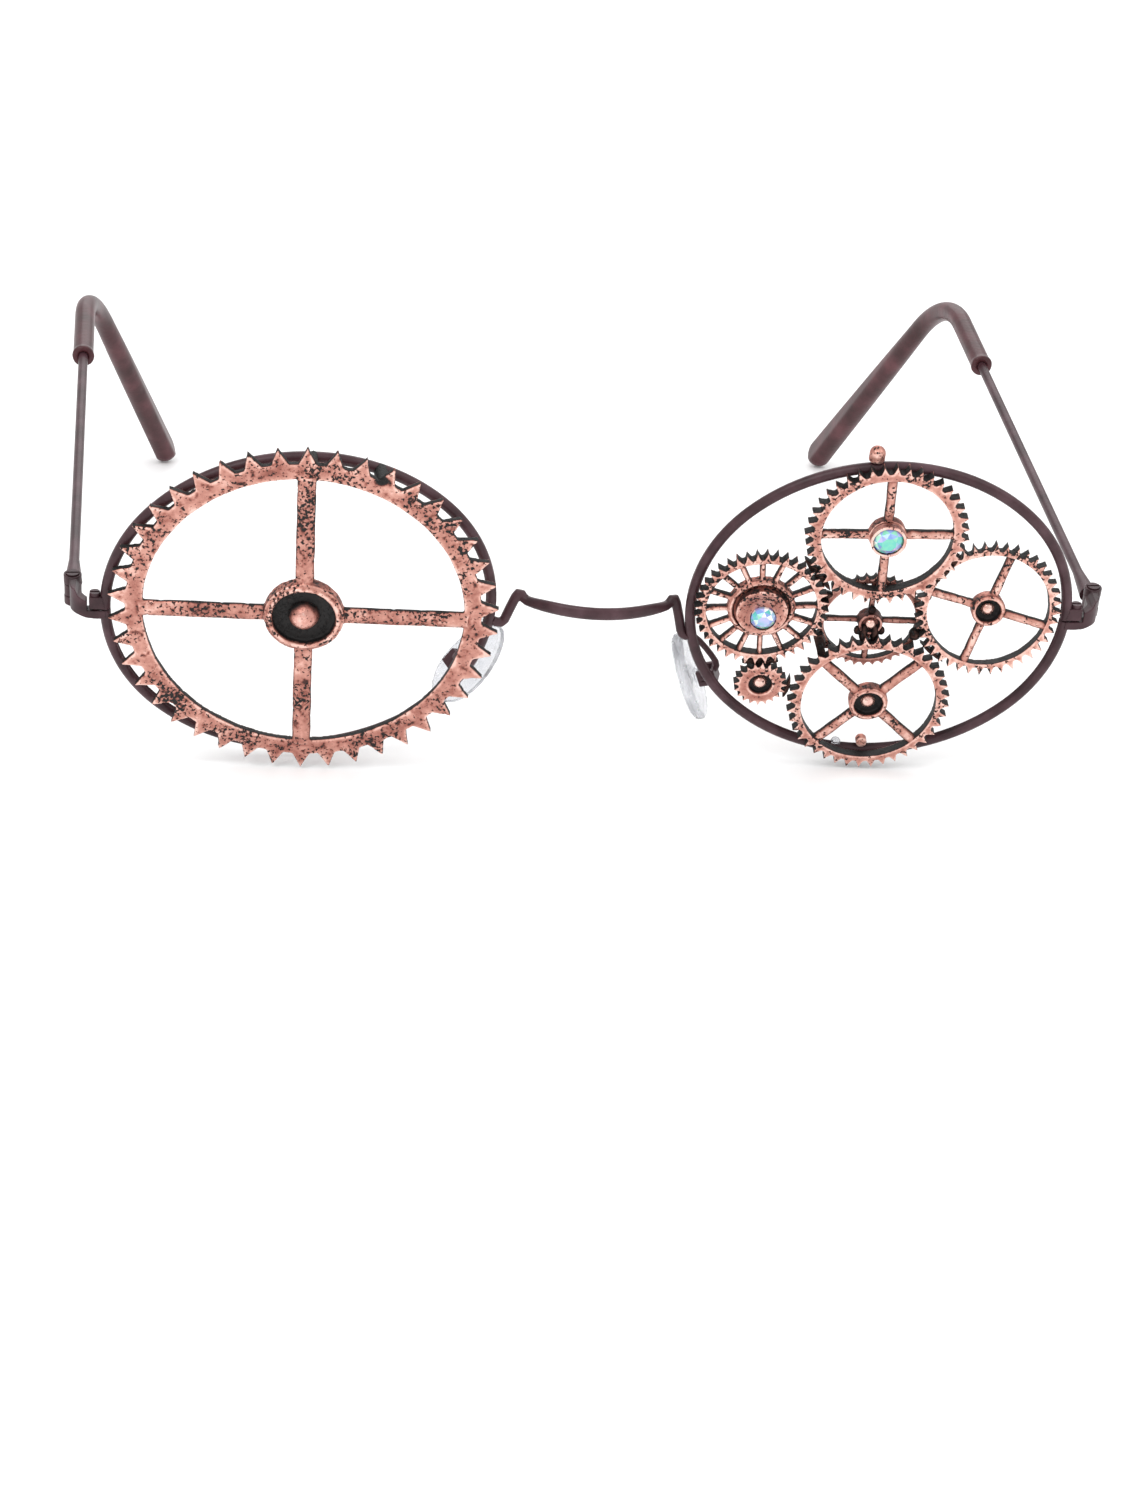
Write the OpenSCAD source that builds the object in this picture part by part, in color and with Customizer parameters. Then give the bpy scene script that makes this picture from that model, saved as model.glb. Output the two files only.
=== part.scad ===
// Round wire-frame spectacles with clockwork castings on the front.
// The part stands open on a table: the castings' lowest teeth and both temple tips touch it.
// Left and right are as seen from the front. The front faces -Y and +Z is up.
// The front is drawn in its own frame, midway between the eye wires, and stance() then leans it.

/* [Eye wires] */
// Distance between the centres of the two eye wires
eye_spacing = 78.3; // [74:0.1:84]
// Half of the eye wire's width, to the middle of the wire
eye_half_w = 25.6; // [24.5:0.1:27]
// Half of the eye wire's height, to the middle of the wire
eye_half_h = 23.55; // [22.5:0.05:24.4]
// Thickness of the eye wire
rim_wire_d = 1.5; // [1.3:0.05:1.8]
// Depth of the lens groove inside the eye wire
lens_groove = 0.4; // [0.2:0.05:0.5]
// Forward lean of the top of each eye wire, in degrees
eye_tilt = 4.9; // [0:0.1:8]
// Backward turn of each eye wire's outer side, in degrees
eye_wrap = -2.5; // [-4:0.1:4]
// Width of the cut in the eye wire between its two lock blocks
rim_cut = 0.3; // [0.2:0.05:0.6]

/* [Bridge and nose pads] */
// Offset of the bridge's middle from the middle of the front
bridge_shift = 0.9; // [-1.2:0.05:1.2]
// Distance between the two corners of the bridge
bridge_span = 21.2; // [19:0.1:22]
// How far the middle of the bridge stands in front of the ends of its bar
bridge_bow = 4.2; // [3:0.1:6]
// Thickness of the bridge wire at its ends
bridge_end_d = 1.4; // [1.1:0.05:1.6]
// Height of the flattened middle of the bridge
bridge_mid_h = 1.9; // [1.5:0.05:2.4]
// Length of a nose pad
pad_length = 14.2; // [12:0.1:15]
// Width of a nose pad
pad_width = 7; // [5.5:0.1:8]
// Thickness of a nose pad
pad_thick = 1.7; // [1.3:0.05:2]
// Thickness of the wire that carries a nose pad
pad_arm_d = 0.9; // [0.7:0.05:1.1]

/* [Hinges and temples] */
// Distance of each hinge pin from the middle of the front
hinge_x = 69.15; // [68.8:0.05:69.6]
// Distance of each hinge pin behind the middle of the front
hinge_y = 2.7; // [2.4:0.05:3.2]
// Height of the middle of each hinge above the middle of the front
hinge_z = 0.7; // [0.3:0.05:1]
// Diameter of the hinge barrels
barrel_d = 2.4; // [2.2:0.05:2.8]
// Height of each outer knuckle
outer_knuckle_h = 1.3; // [1.1:0.05:1.8]
// Height of the temple's knuckle
temple_knuckle_h = 1.6; // [1.3:0.05:2]
// Diameter of the hinge screw's shank
hinge_pin_d = 1; // [0.8:0.05:1.2]
// Thickness of the temple wire
temple_wire_d = 1.4; // [1.2:0.05:1.6]
// Length of a temple from its hinge to the corner of its bend
temple_length = 94; // [90:0.5:98]
// Length of the left ear hook from the corner of the bend to its tip
left_hook = 48.8; // [46:0.1:54]
// Length of the right ear hook from the corner of the bend to its tip
right_hook = 53.6; // [46:0.1:56]
// Radius of the bend over the ear
bend_r = 18; // [12:0.5:20]
// Drop of the left ear hook, in degrees
left_drop = 62.4; // [56:0.1:66]
// Drop of the right ear hook, in degrees
right_drop = 60.3; // [56:0.1:68]
// Inward lean of the left ear hook, in degrees
left_toe = 14.7; // [8:0.1:18]
// Inward lean of the right ear hook, in degrees
right_toe = 13.6; // [8:0.1:20]
// Inward turn of the left temple, in degrees
left_splay = -1.75; // [-3:0.05:2]
// Inward turn of the right temple, in degrees
right_splay = 1.7; // [-2:0.05:3]
// Rise of the left temple, in degrees
left_pitch = -0.25; // [-2:0.05:2]
// Rise of the right temple, in degrees
right_pitch = 0.95; // [-1:0.05:3]
// Distance from the hinge to the start of the ear sleeve
sleeve_start = 68.8; // [60:0.1:74]
// Height of the ear sleeve where it starts
sleeve_d = 3.1; // [2.8:0.05:3.6]
// Height of the ear sleeve's tip
sleeve_tip_d = 4.6; // [3.8:0.05:5]
// Width of the ear sleeve, between its flattened sides
sleeve_width = 3.3; // [2.8:0.05:3.8]

/* [Ring sprocket] */
// Number of teeth on the ring sprocket
ring_teeth = 42; // [30:1:48]
// Radius of the ring sprocket at its tooth tips
ring_tip_r = 25.9; // [25:0.1:26.5]
// Radius of the ring sprocket at its tooth roots
ring_root_r = 23.6; // [23:0.1:24]
// Radius of the opening inside the ring
ring_inner_r = 21.2; // [20:0.1:22]
// Thickness of the ring sprocket
ring_thick = 1; // [0.8:0.05:1.4]
// Turn of the ring sprocket on the eye wire, in degrees
ring_turn = -5; // [-6:0.1:0]
// Width of a spoke of the ring sprocket
ring_spoke_w = 2.5; // [1.8:0.1:3]
// Radius of the ring sprocket's hub
ring_hub_r = 5.3; // [4.8:0.1:6]
// Radius of the well in the ring sprocket's hub
ring_well_r = 4.2; // [3.6:0.1:4.5]
// Radius of the rivet head in the ring sprocket's hub
ring_rivet_r = 2.1; // [1.8:0.1:3]

/* [Gear cluster] */
// Thickness of the cluster's gears
gear_thick = 1.6; // [1.2:0.05:2]
// Depth of the cluster's teeth
tooth_depth = 0.95; // [0.7:0.05:1.1]
// Radius of the upper gear at its tooth tips
top_r = 10.8; // [10.4:0.1:11]
// Radius of the outer gear at its tooth tips
outer_r = 9.8; // [9.5:0.1:10]
// Radius of the lower gear at its tooth tips
bottom_r = 11.3; // [11:0.1:11.6]
// Radius of the spoked wheel at its tooth tips
wheel_r = 9; // [8.6:0.1:9.1]
// Radius of the pinion at its tooth tips
pinion_r = 3.65; // [3.4:0.05:3.9]
// Radius of the gear behind the others at its tooth tips
middle_r = 8; // [7.5:0.1:8.4]
// Number of spokes in the spoked wheel
wheel_spokes = 16; // [10:1:18]
// Diameter of the stone in the upper gear
top_stone_d = 4; // [3.4:0.1:4.4]
// Diameter of the stone in the spoked wheel
wheel_stone_d = 3.4; // [2.8:0.1:3.6]

/* [Fits] */
// Radial clearance of a part that turns on its pin
running_fit = 0.05; // [0.03:0.01:0.1]
// Radial clearance of a part that is fixed on its pin
fixed_fit = 0.02; // [0.01:0.01:0.05]
// Gap between the faces of neighbouring knuckles
knuckle_gap = 0.1; // [0.05:0.01:0.2]
// Gap between the castings and the wire behind them
seat_gap = 0.05; // [0.02:0.01:0.1]

/* [Hidden] */
$fn = 48;
fine = 144;
eps = 0.01;
brown = [0.33, 0.25, 0.26];
copper = [0.78, 0.52, 0.46];
dark_patina = [0.22, 0.17, 0.16];
clear_plastic = [0.86, 0.88, 0.9, 0.5];
sleeve_brown = [0.33, 0.18, 0.15];
stone_tint = [0.62, 0.85, 0.86];
glue_tint = [0.85, 0.87, 0.88];

LEFT = -1;
RIGHT = 1;

// Turns of a point about each axis.
function turn_x(p, a) = [p.x, p.y * cos(a) - p.z * sin(a), p.y * sin(a) + p.z * cos(a)];
function turn_y(p, a) = [p.x * cos(a) + p.z * sin(a), p.y, p.z * cos(a) - p.x * sin(a)];
function turn_z(p, a) = [p.x * cos(a) - p.y * sin(a), p.x * sin(a) + p.y * cos(a), p.z];

// Place of a point of one eye wire's own frame in the front's frame.
function eye_point(side, p) =
  turn_z(turn_x(p, eye_tilt), side * eye_wrap) + [side * eye_spacing / 2, 0, 0];

// Places of the castings, [x, z] in the eye wire's own frame.
ring_at = [0.4, 1.35];
top_at = [-0.8, 13.9];
outer_at = [14.4, 2.45];
bottom_at = [0.1, -13.9];
wheel_at = [-16.3, 1.4];
pinion_at = [-15.2, -11.2];
middle_at = [-1.1, -1.1];
middle_thick = 1.2;

// Depths in front of the middle of the eye wire, in the eye wire's own frame.
bore_reach = 9;
leaf_run = 6;
rim_r = rim_wire_d / 2;
gear_back = rim_r + seat_gap;
gear_front = gear_back + gear_thick;
ring_slope = sin(-ring_turn);
ring_reach = ring_tip_r - ring_at.x;
block_front = 0.95;
over_block = ring_reach > eye_half_w ? block_front + ring_reach * ring_slope : 0;
ring_back = max(gear_back + (eye_half_w - rim_r) * ring_slope, over_block);
ring_front = ring_back + ring_thick;

// Number of teeth on each gear, from its radius and one tooth pitch.
tooth_pitch = 1.87;
function teeth_on(r) = round(2 * PI * r / tooth_pitch);

// Temple values of one side.
function splay(side) = side == LEFT ? left_splay : right_splay;
function pitch(side) = side == LEFT ? left_pitch : right_pitch;
function drop(side) = side == LEFT ? left_drop : right_drop;
function toe(side) = side == LEFT ? left_toe : right_toe;
function hook_turn(side) = acos(cos(toe(side)) * cos(drop(side)));
function hook_roll(side) = side * atan2(sin(toe(side)), cos(toe(side)) * sin(drop(side)));
function bend_run(side) = bend_r * tan(hook_turn(side) / 2);
function straight_end(side) = temple_length - bend_run(side);
function hook_length(side) = side == LEFT ? left_hook : right_hook;
function hook_run(side) = hook_length(side) - bend_run(side) - sleeve_tip_d / 2;

// Middle of the ball at a temple's tip, in the front's frame.
function tip_local(side) = let (t = hook_turn(side), l = hook_run(side))
  [0, straight_end(side) + bend_r * sin(t) + l * cos(t), bend_r * (cos(t) - 1) - l * sin(t)];
function from_temple(side, p) =
  turn_z(turn_x(p, pitch(side)), side * splay(side)) + [side * hinge_x, hinge_y, hinge_z];
function tip(side) = from_temple(side, turn_y(tip_local(side), hook_roll(side)));

// The stance: a plane through the lowest teeth and under the left tip.
foot_left = eye_point(LEFT, [ring_at.x, -ring_front, ring_at.y - ring_tip_r]);
foot_right = eye_point(RIGHT, [bottom_at.x, -gear_front, bottom_at.y - bottom_r]);
tip_low = tip(LEFT) - [0, 0, sleeve_tip_d / 2];
normal = cross(foot_right - foot_left, tip_low - foot_left);
lean = atan2(normal.y, normal.z);
roll = -atan2(normal.x, norm([normal.y, normal.z]));
function leaned(p) = turn_y(turn_x(p, lean), roll);
lift = -leaned(foot_left).z;
centre_x = 1.48;
centre_y = -59.21;

module stance() {
  translate([centre_x, centre_y, lift]) rotate([0, roll, 0]) rotate([lean, 0, 0]) children();
}

module eye(side) {
  stance() translate([side * eye_spacing / 2, 0, 0]) rotate([0, 0, side * eye_wrap])
    rotate([eye_tilt, 0, 0]) children();
}

// A place on the front of an eye wire: x and z there, with the drawing's +Z to the front.
module on_eye(side, at, depth) {
  eye(side) translate([at.x, -depth, at.y]) rotate([90, 0, 0]) children();
}

module temple_frame(side) {
  stance() translate([side * hinge_x, hinge_y, hinge_z]) rotate([0, 0, side * splay(side)])
    rotate([pitch(side), 0, 0]) children();
}

// A closed tube through the points of a path, with half sizes [up, across] at each point.
// The section stays upright to the direction given as side.
function unit(v) = v / norm(v);
function along(path, i) = unit(path[min(i + 1, len(path) - 1)] - path[max(i - 1, 0)]);
module tube(path, half, side, sides = 16) {
  last = len(path) - 1;
  points = [for (i = [0:last])
    let (t = along(path, i), u = unit(cross(t, side)), v = cross(u, t))
    for (k = [0:sides - 1])
      path[i] + u * half[i][0] * cos(360 * k / sides) + v * half[i][1] * sin(360 * k / sides)];
  walls = [for (i = [0:last - 1], k = [0:sides - 1])
    let (n = (k + 1) % sides)
    [i * sides + k, i * sides + n, (i + 1) * sides + n, (i + 1) * sides + k]];
  start = [for (k = [sides - 1:-1:0]) k];
  end = [for (k = [0:sides - 1]) last * sides + k];
  polyhedron(points, concat(walls, [start, end]), convexity = 6);
}

// A smooth curve through a few points, with steps points from one to the next.
function curve_point(a, b, c, d, t) =
  (2 * b + (c - a) * t + (2 * a - 5 * b + 4 * c - d) * t * t
   + (3 * b - a - 3 * c + d) * t * t * t) / 2;
function curve(p, steps) = [
  for (i = [0:len(p) - 2], s = [0:steps - 1])
    curve_point(p[max(i - 1, 0)], p[i], p[i + 1], p[min(i + 2, len(p) - 1)], s / steps),
  p[len(p) - 1]];

// Eye wires: an oval of four arcs, grooved inside for the lens and cut at the outer side.
arc_step = (eye_half_w - eye_half_h) / (sqrt(2) - 1);
flat_arc_r = eye_half_h + arc_step / sqrt(2);
side_arc_r = eye_half_w - arc_step / sqrt(2);

module rim_section(r, d, groove) {
  translate([r, 0]) difference() {
    circle(d = d, $fn = 48);
    if (groove > 0) translate([-d / 2 - eps, 0])
      polygon([[0, -groove - eps], [groove + eps, 0], [0, groove + eps]]);
  }
}

module rim_oval(d, groove) {
  rotate([90, 0, 0]) {
    for (s = [-1, 1]) translate([0, -s * (flat_arc_r - eye_half_h), 0])
      rotate([0, 0, s * 90 - 45])
        rotate_extrude(angle = 90, $fn = fine) rim_section(flat_arc_r, d, groove);
    for (s = [-1, 1]) translate([s * (eye_half_w - side_arc_r), 0, 0])
      rotate([0, 0, 45 - s * 90])
        rotate_extrude(angle = 90, $fn = fine) rim_section(side_arc_r, d, groove);
  }
}

module eye_wire(side) {
  color(brown) eye(side) difference() {
    rim_oval(rim_wire_d, lens_groove);
    translate([side * eye_half_w, 0, 0])
      cube([3 * rim_wire_d, 2 * rim_wire_d, rim_cut], center = true);
  }
}

module left_eye_wire() { eye_wire(LEFT); }
module right_eye_wire() { eye_wire(RIGHT); }

// Bridge: each foot is joined to the inner side of an eye wire, rises to a corner and turns
// into a bar that bows forward and is flattened. The left foot dips before it rises.
bridge_corner_y = 2.9;
bridge_corner_z = 0.65;
bridge_corner_fall = 0.5;
bridge_dip = 1.1;
bar_in = 1.1;
bar_back = 0.7;
bar_drop = 0.8;
bar_rise = 0.8;
foot_sink = 0.05;
function foot_z(side) = side == LEFT ? -2.2 : -4.9;
function foot_at(side) =
  eye_point(side, [-side * (eye_half_w - rim_r + foot_sink), -0.1, foot_z(side)]);
function corner_at(side) = [bridge_shift + side * bridge_span / 2, bridge_corner_y,
  side == LEFT ? bridge_corner_z : bridge_corner_z - bridge_corner_fall];
function bar_end(side) = corner_at(side) - [side * bar_in, bar_back, bar_drop];

function bridge_side(side) = let (
  foot = foot_at(side),
  corner = corner_at(side),
  run = corner.x - foot.x,
  low = foot.z - (side == LEFT ? bridge_dip : 0))
  [foot,
   [foot.x + 0.5 * run, foot.y + 0.5, low],
   [foot.x + 0.72 * run, (foot.y + corner.y) / 2, (low + corner.z) / 2 - 0.2],
   corner,
   bar_end(side)];

module bridge() {
  left = bridge_side(LEFT);
  right = bridge_side(RIGHT);
  from = bar_end(LEFT);
  to = bar_end(RIGHT);
  bar = [for (t = [-0.66, -0.33, 0, 0.33, 0.66])
    (from + to) / 2 + (to - from) / 2 * t + [0, -bridge_bow, bar_rise] * (1 - t * t)];
  knots = concat(left, bar, [for (i = [4:-1:0]) right[i]]);
  path = curve(knots, 3);
  r = bridge_end_d / 2;
  half = [for (p = path)
    let (t = abs(p.x - (from.x + to.x) / 2) / (to.x - from.x) * 2, m = max(0, min(1, 4 * (1 - t))))
    [r + (bridge_mid_h - bridge_end_d) / 2 * m, r - 0.1 * m]];
  color(brown) difference() {
    stance() tube(path, half, [0, 1, 0]);
    for (side = [LEFT, RIGHT]) eye(side) rim_oval(rim_wire_d, 0);
  }
}

// End pieces: the lower lock block, the arm that curves back, and the two outer knuckles.
block_depth = 1.7;
block_top = 1.9;
block_bottom = -1.3;
lock_len = 2.1;
arm_thick = 1.5;
arm_dip = 0.7;
barrel_out = 0.9;
lock_screw_d = 0.9;
lock_screw_x = 1.35;
knuckle_r = barrel_d / 2;
slot_half = temple_knuckle_h / 2 + knuckle_gap;
barrel_top = slot_half + outer_knuckle_h;
hinge_head_d = 1.7;
hinge_head_h = 0.5;
hinge_head_sink = 0.35;

function outer_point(side) = eye_point(side, [side * eye_half_w, 0, 0]);

// Plan of an end piece, drawn for the right side from the middle of the eye wire outwards.
module arm_plan(reach_x, reach_y) {
  outer_x = reach_x + knuckle_r - barrel_out;
  bend_out = outer_x - lock_len - 0.2;
  translate([0, -block_depth / 2]) square([lock_len + 0.2, block_depth]);
  translate([lock_len + 0.2 - eps, bend_out - block_depth / 2]) difference() {
    intersection() {
      circle(r = bend_out);
      translate([0, -bend_out]) square([bend_out, bend_out]);
    }
    circle(r = bend_out - arm_thick);
  }
  translate([outer_x - arm_thick, bend_out - block_depth / 2 - eps])
    square([arm_thick, max(eps, reach_y - bend_out + block_depth / 2)]);
}

// Front outline of an end piece: the top rises to the barrel and the lower corner is rounded.
module arm_front(reach_x) {
  low = hinge_z - barrel_top;
  polygon([[-0.1, block_bottom], [reach_x * 0.3, block_bottom],
    [reach_x * 0.55, block_bottom + 0.12], [reach_x * 0.8, block_bottom + 0.42],
    [reach_x * 0.98, (block_bottom + low) / 2 + 0.6], [reach_x + 2 * knuckle_r, low + 0.7],
    [reach_x + 2 * knuckle_r, hinge_z + barrel_top - 0.15],
    [reach_x - 0.5, hinge_z + barrel_top - 0.15], [reach_x * 0.8, block_top],
    [reach_x * 0.65, block_top - arm_dip / 2], [reach_x * 0.5, block_top - arm_dip],
    [-0.1, block_top - arm_dip]]);
}

module mirrored(side) {
  if (side == LEFT) mirror([1, 0, 0]) children();
  else children();
}

module lock_cut(side, grow) {
  wire = outer_point(side);
  stance() mirrored(side) translate([side * wire.x - 1, wire.y - block_depth, -rim_cut / 2])
    cube([lock_len + 1 + grow, 2 * block_depth, 2 * block_top]);
}

module end_piece(side) {
  wire = outer_point(side);
  reach_x = hinge_x - side * wire.x;
  reach_y = hinge_y - wire.y;
  color(brown) difference() {
    union() {
      stance() mirrored(side) translate([side * wire.x, wire.y, 0]) intersection() {
        translate([0, 0, block_bottom - 1]) linear_extrude(barrel_top * 3)
          arm_plan(reach_x, reach_y);
        translate([0, reach_y + 2, 0]) rotate([90, 0, 0])
          linear_extrude(reach_y + block_depth + 2) arm_front(reach_x);
      }
      temple_frame(side) for (s = [-1, 1])
        translate([0, 0, s * (slot_half + outer_knuckle_h / 2)])
          cylinder(h = outer_knuckle_h, r = knuckle_r, center = true);
    }
    eye(side) rim_oval(rim_wire_d, 0);
    lock_cut(side, rim_cut);
    lock_hole(side, fixed_fit);
    temple_frame(side) {
      cylinder(h = 2 * slot_half, r = knuckle_r + 0.3, center = true);
      cylinder(h = 3 * barrel_top, d = hinge_pin_d + 2 * fixed_fit, center = true);
      translate([0, 0, barrel_top - hinge_head_sink])
        cylinder(h = 1, d = hinge_head_d + 2 * fixed_fit);
    }
  }
}

module left_end_piece() { end_piece(LEFT); }
module right_end_piece() { end_piece(RIGHT); }

module lock_hole(side, fit) {
  wire = outer_point(side);
  stance() translate([wire.x + side * lock_screw_x, wire.y, block_bottom + 0.6])
    cylinder(h = 3 * block_top, d = lock_screw_d + 2 * fit);
}

// Upper lock blocks: each is joined to the upper end of the cut eye wire.
module lock_block(side) {
  wire = outer_point(side);
  color(brown) difference() {
    stance() mirrored(side)
      translate([side * wire.x, wire.y - block_depth / 2, rim_cut / 2])
        cube([lock_len, block_depth, block_top - rim_cut / 2]);
    eye(side) rim_oval(rim_wire_d, 0);
    lock_hole(side, running_fit);
  }
}

module left_lock_block() { lock_block(LEFT); }
module right_lock_block() { lock_block(RIGHT); }

// A small screw that points down: a slotted head and a plain shank.
module small_screw(head_d, head_h, shank_d, shank_h) {
  difference() {
    cylinder(h = head_h, d = head_d);
    translate([0, 0, head_h]) cube([head_d + 1, 0.3, 0.4], center = true);
  }
  translate([0, 0, -shank_h]) cylinder(h = shank_h + eps, d = shank_d);
}

module lock_screws() {
  color(brown) for (side = [LEFT, RIGHT]) {
    wire = outer_point(side);
    stance() translate([wire.x + side * lock_screw_x, wire.y, block_top + fixed_fit])
      small_screw(1.4, 0.5, lock_screw_d, block_top - block_bottom - 0.7);
  }
}

module hinge_screws() {
  color(brown) for (side = [LEFT, RIGHT])
    temple_frame(side) translate([0, 0, barrel_top - hinge_head_sink + fixed_fit])
      small_screw(hinge_head_d, hinge_head_h, hinge_pin_d, 2 * barrel_top - hinge_head_sink - 0.3);
}

// Nose pads: each rocks on a screw in a small box at the end of its bent wire.
pad_screw_d = 0.8;
pad_stand = 1.7;
boss_r = 0.8;
boss_w = 1.2;
box_w = 2.6;
box_h = 2.4;
box_back = 0.45;
pad_inset = 2.65;
pad_x = eye_spacing / 2 - eye_half_w + pad_inset;
function pad_at(side) = side == LEFT ? [pad_x, 6.8, -12.9] : [pad_x - 0.1, 7, -14.8];
function pad_lean(side) = side == LEFT ? 36 : 20;
function pad_turn(side) = side == LEFT ? 38 : 16;
function pad_point(side, p) =
  turn_y(turn_z(p, -pad_turn(side)), -pad_lean(side)) + pad_at(side);
box_end = pad_stand + boss_r + 0.15 + box_back;

module pad_frame(side) {
  stance() mirrored(side) translate(pad_at(side)) rotate([0, -pad_lean(side), 0])
    rotate([0, 0, -pad_turn(side)]) children();
}

// Outline of a pad: an oval, a little fuller at its lower end.
module pad_outline(inset) {
  polygon([for (a = [0:9:351])
    [(pad_width / 2 - inset) * cos(a) * (1 - 0.1 * sin(a)), (pad_length / 2 - inset) * sin(a)]]);
}

module nose_pad(side) {
  color(clear_plastic) pad_frame(side) difference() {
    union() {
      rotate([90, 0, 90]) {
        translate([0, 0, -pad_thick + 0.3]) linear_extrude(pad_thick - 0.6) pad_outline(0);
        translate([0, 0, -pad_thick]) linear_extrude(pad_thick) pad_outline(0.45);
      }
      translate([-eps, -boss_w / 2, -boss_r]) cube([pad_stand, boss_w, 2 * boss_r]);
      translate([pad_stand, 0, 0]) rotate([90, 0, 0])
        cylinder(h = boss_w, r = boss_r, center = true);
    }
    translate([pad_stand, 0, 0]) rotate([90, 0, 0])
      cylinder(h = 2 * boss_w, d = pad_screw_d + 2 * running_fit, center = true);
  }
}

module left_nose_pad() { nose_pad(LEFT); }
module right_nose_pad() { nose_pad(RIGHT); }

// The bent wire from the back of the eye wire to the pad's box.
function arm_root(side) =
  let (p = eye_point(side, [-side * (eye_half_w - 0.55), 0.95, -5])) [side * p.x, p.y, p.z];

module pad_arm(side) {
  root = arm_root(side);
  knots = [root, root + [-0.5, 1.2, 0.2], root + [-0.9, 2.6, -0.9],
    (root + [-0.6, 3.4, -1.6] + pad_point(side, [box_end + 0.9, -0.3, 3.4])) / 2,
    pad_point(side, [box_end + 0.45, -0.2, 2]), pad_point(side, [box_end - 0.1, 0, 0.6])];
  path = curve(knots, 3);
  r = pad_arm_d / 2;
  color(brown) difference() {
    union() {
      stance() mirrored(side) tube(path, [for (p = path) [r, r]], [1, 0, 0], 10);
      pad_frame(side) difference() {
        translate([0.5, -box_w / 2, -box_h / 2]) cube([box_end - 0.5, box_w, box_h]);
        translate([-1, -boss_w / 2 - knuckle_gap, -box_h])
          cube([box_end + 1 - box_back, boss_w + 2 * knuckle_gap, 2 * box_h]);
      }
    }
    pad_frame(side) translate([pad_stand, 0, 0]) rotate([90, 0, 0])
      cylinder(h = 2 * box_w, d = pad_screw_d + 2 * fixed_fit, center = true);
    eye(side) rim_oval(rim_wire_d, 0);
  }
}

module left_pad_arm() { pad_arm(LEFT); }
module right_pad_arm() { pad_arm(RIGHT); }

module pad_screws() {
  color(brown) for (side = [LEFT, RIGHT])
    pad_frame(side) translate([pad_stand, -box_w / 2 - fixed_fit, 0]) rotate([90, 0, 0])
      small_screw(1.3, 0.45, pad_screw_d, box_w);
}

// Temples: a knuckle and a tapered leaf, then a round wire that bends down behind the ear.
leaf_start = knuckle_r + 0.4;
leaf_end = leaf_start + 6;
wire_tip_gap = 6;

// A rod that starts straight, bends down and ends in a ball. The bend is a hair thicker, so
// that the straight stretches end inside it.
rod_lap = 0.15;
rod_step = 0.01;
module bent_rod(side, from, r, r_tip, run) {
  y = straight_end(side);
  t = hook_turn(side);
  rotate([0, hook_roll(side), 0]) {
    translate([0, y + rod_lap, 0]) rotate([90, 0, 0]) cylinder(h = y + rod_lap - from, r = r);
    translate([0, y, -bend_r]) rotate([90, 0, 90]) rotate([0, 0, 90 - t])
      rotate_extrude(angle = t, $fn = fine) translate([bend_r, 0])
        circle(r = r + rod_step, $fn = 48);
    translate([0, y + bend_r * sin(t), bend_r * (cos(t) - 1)]) rotate([-90 - t, 0, 0]) {
      translate([0, 0, -rod_lap]) cylinder(h = run + rod_lap, r1 = r, r2 = r_tip);
      translate([0, 0, run]) sphere(r = r_tip);
    }
  }
}

module temple(side) {
  r = temple_wire_d / 2;
  color(brown) temple_frame(side) {
    difference() {
      union() {
        cylinder(h = temple_knuckle_h, r = knuckle_r - 0.05, center = true);
        translate([-r, 0, -temple_knuckle_h / 2]) cube([2 * r, leaf_start + 0.2, temple_knuckle_h]);
      }
      cylinder(h = 3 * temple_knuckle_h, d = hinge_pin_d + 2 * running_fit, center = true);
    }
    translate([0, leaf_start, 0]) rotate([-90, 0, 0])
      cylinder(h = leaf_end - leaf_start, r1 = knuckle_r, r2 = r - rod_step);
    bent_rod(side, leaf_end - rod_lap, r, r, hook_run(side) - wire_tip_gap);
  }
}

module left_temple() { temple(LEFT); }
module right_temple() { temple(RIGHT); }

// Ear sleeves: soft covers that are open at the front and fuller towards the tip.
sleeve_collar = 0.8;
collar_wall = 0.15;
module ear_sleeve(side) {
  bore_r = temple_wire_d / 2 + fixed_fit;
  reach = 2 * (temple_length + left_hook + right_hook);
  color(sleeve_brown) temple_frame(side) difference() {
    intersection() {
      union() {
        bent_rod(side, sleeve_start, sleeve_d / 2, sleeve_tip_d / 2, hook_run(side));
        translate([0, sleeve_start, 0]) rotate([-90, 0, 0])
          cylinder(h = sleeve_collar, r = sleeve_d / 2 + collar_wall);
      }
      rotate([0, hook_roll(side), 0]) cube([sleeve_width, reach, reach], center = true);
    }
    bent_rod(side, sleeve_start - 1, bore_r, bore_r, hook_run(side) - wire_tip_gap);
  }
}

module left_ear_sleeve() { ear_sleeve(LEFT); }
module right_ear_sleeve() { ear_sleeve(RIGHT); }

// Outline of a toothed wheel: pointed teeth with rounded gaps, one tooth at the bottom.
function teeth_outline(n, tip_r, root_r, land, steps) = let (
  p = 360 / n, gap_r = 0.3 * 2 * PI * tip_r / n, half = land / tip_r * 90 / PI)
  [for (i = [0:n - 1]) let (a = 270 + i * p, m = a + p / 2) each concat(
    [for (s = [-1, 1]) tip_r * [cos(a + s * half), sin(a + s * half)]],
    [for (k = [0:steps]) let (f = -65 + 130 * k / steps)
      (root_r + gap_r * (1 - cos(f))) * [cos(m), sin(m)]
      + gap_r * sin(f) * [-sin(m), cos(m)]])];

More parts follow.
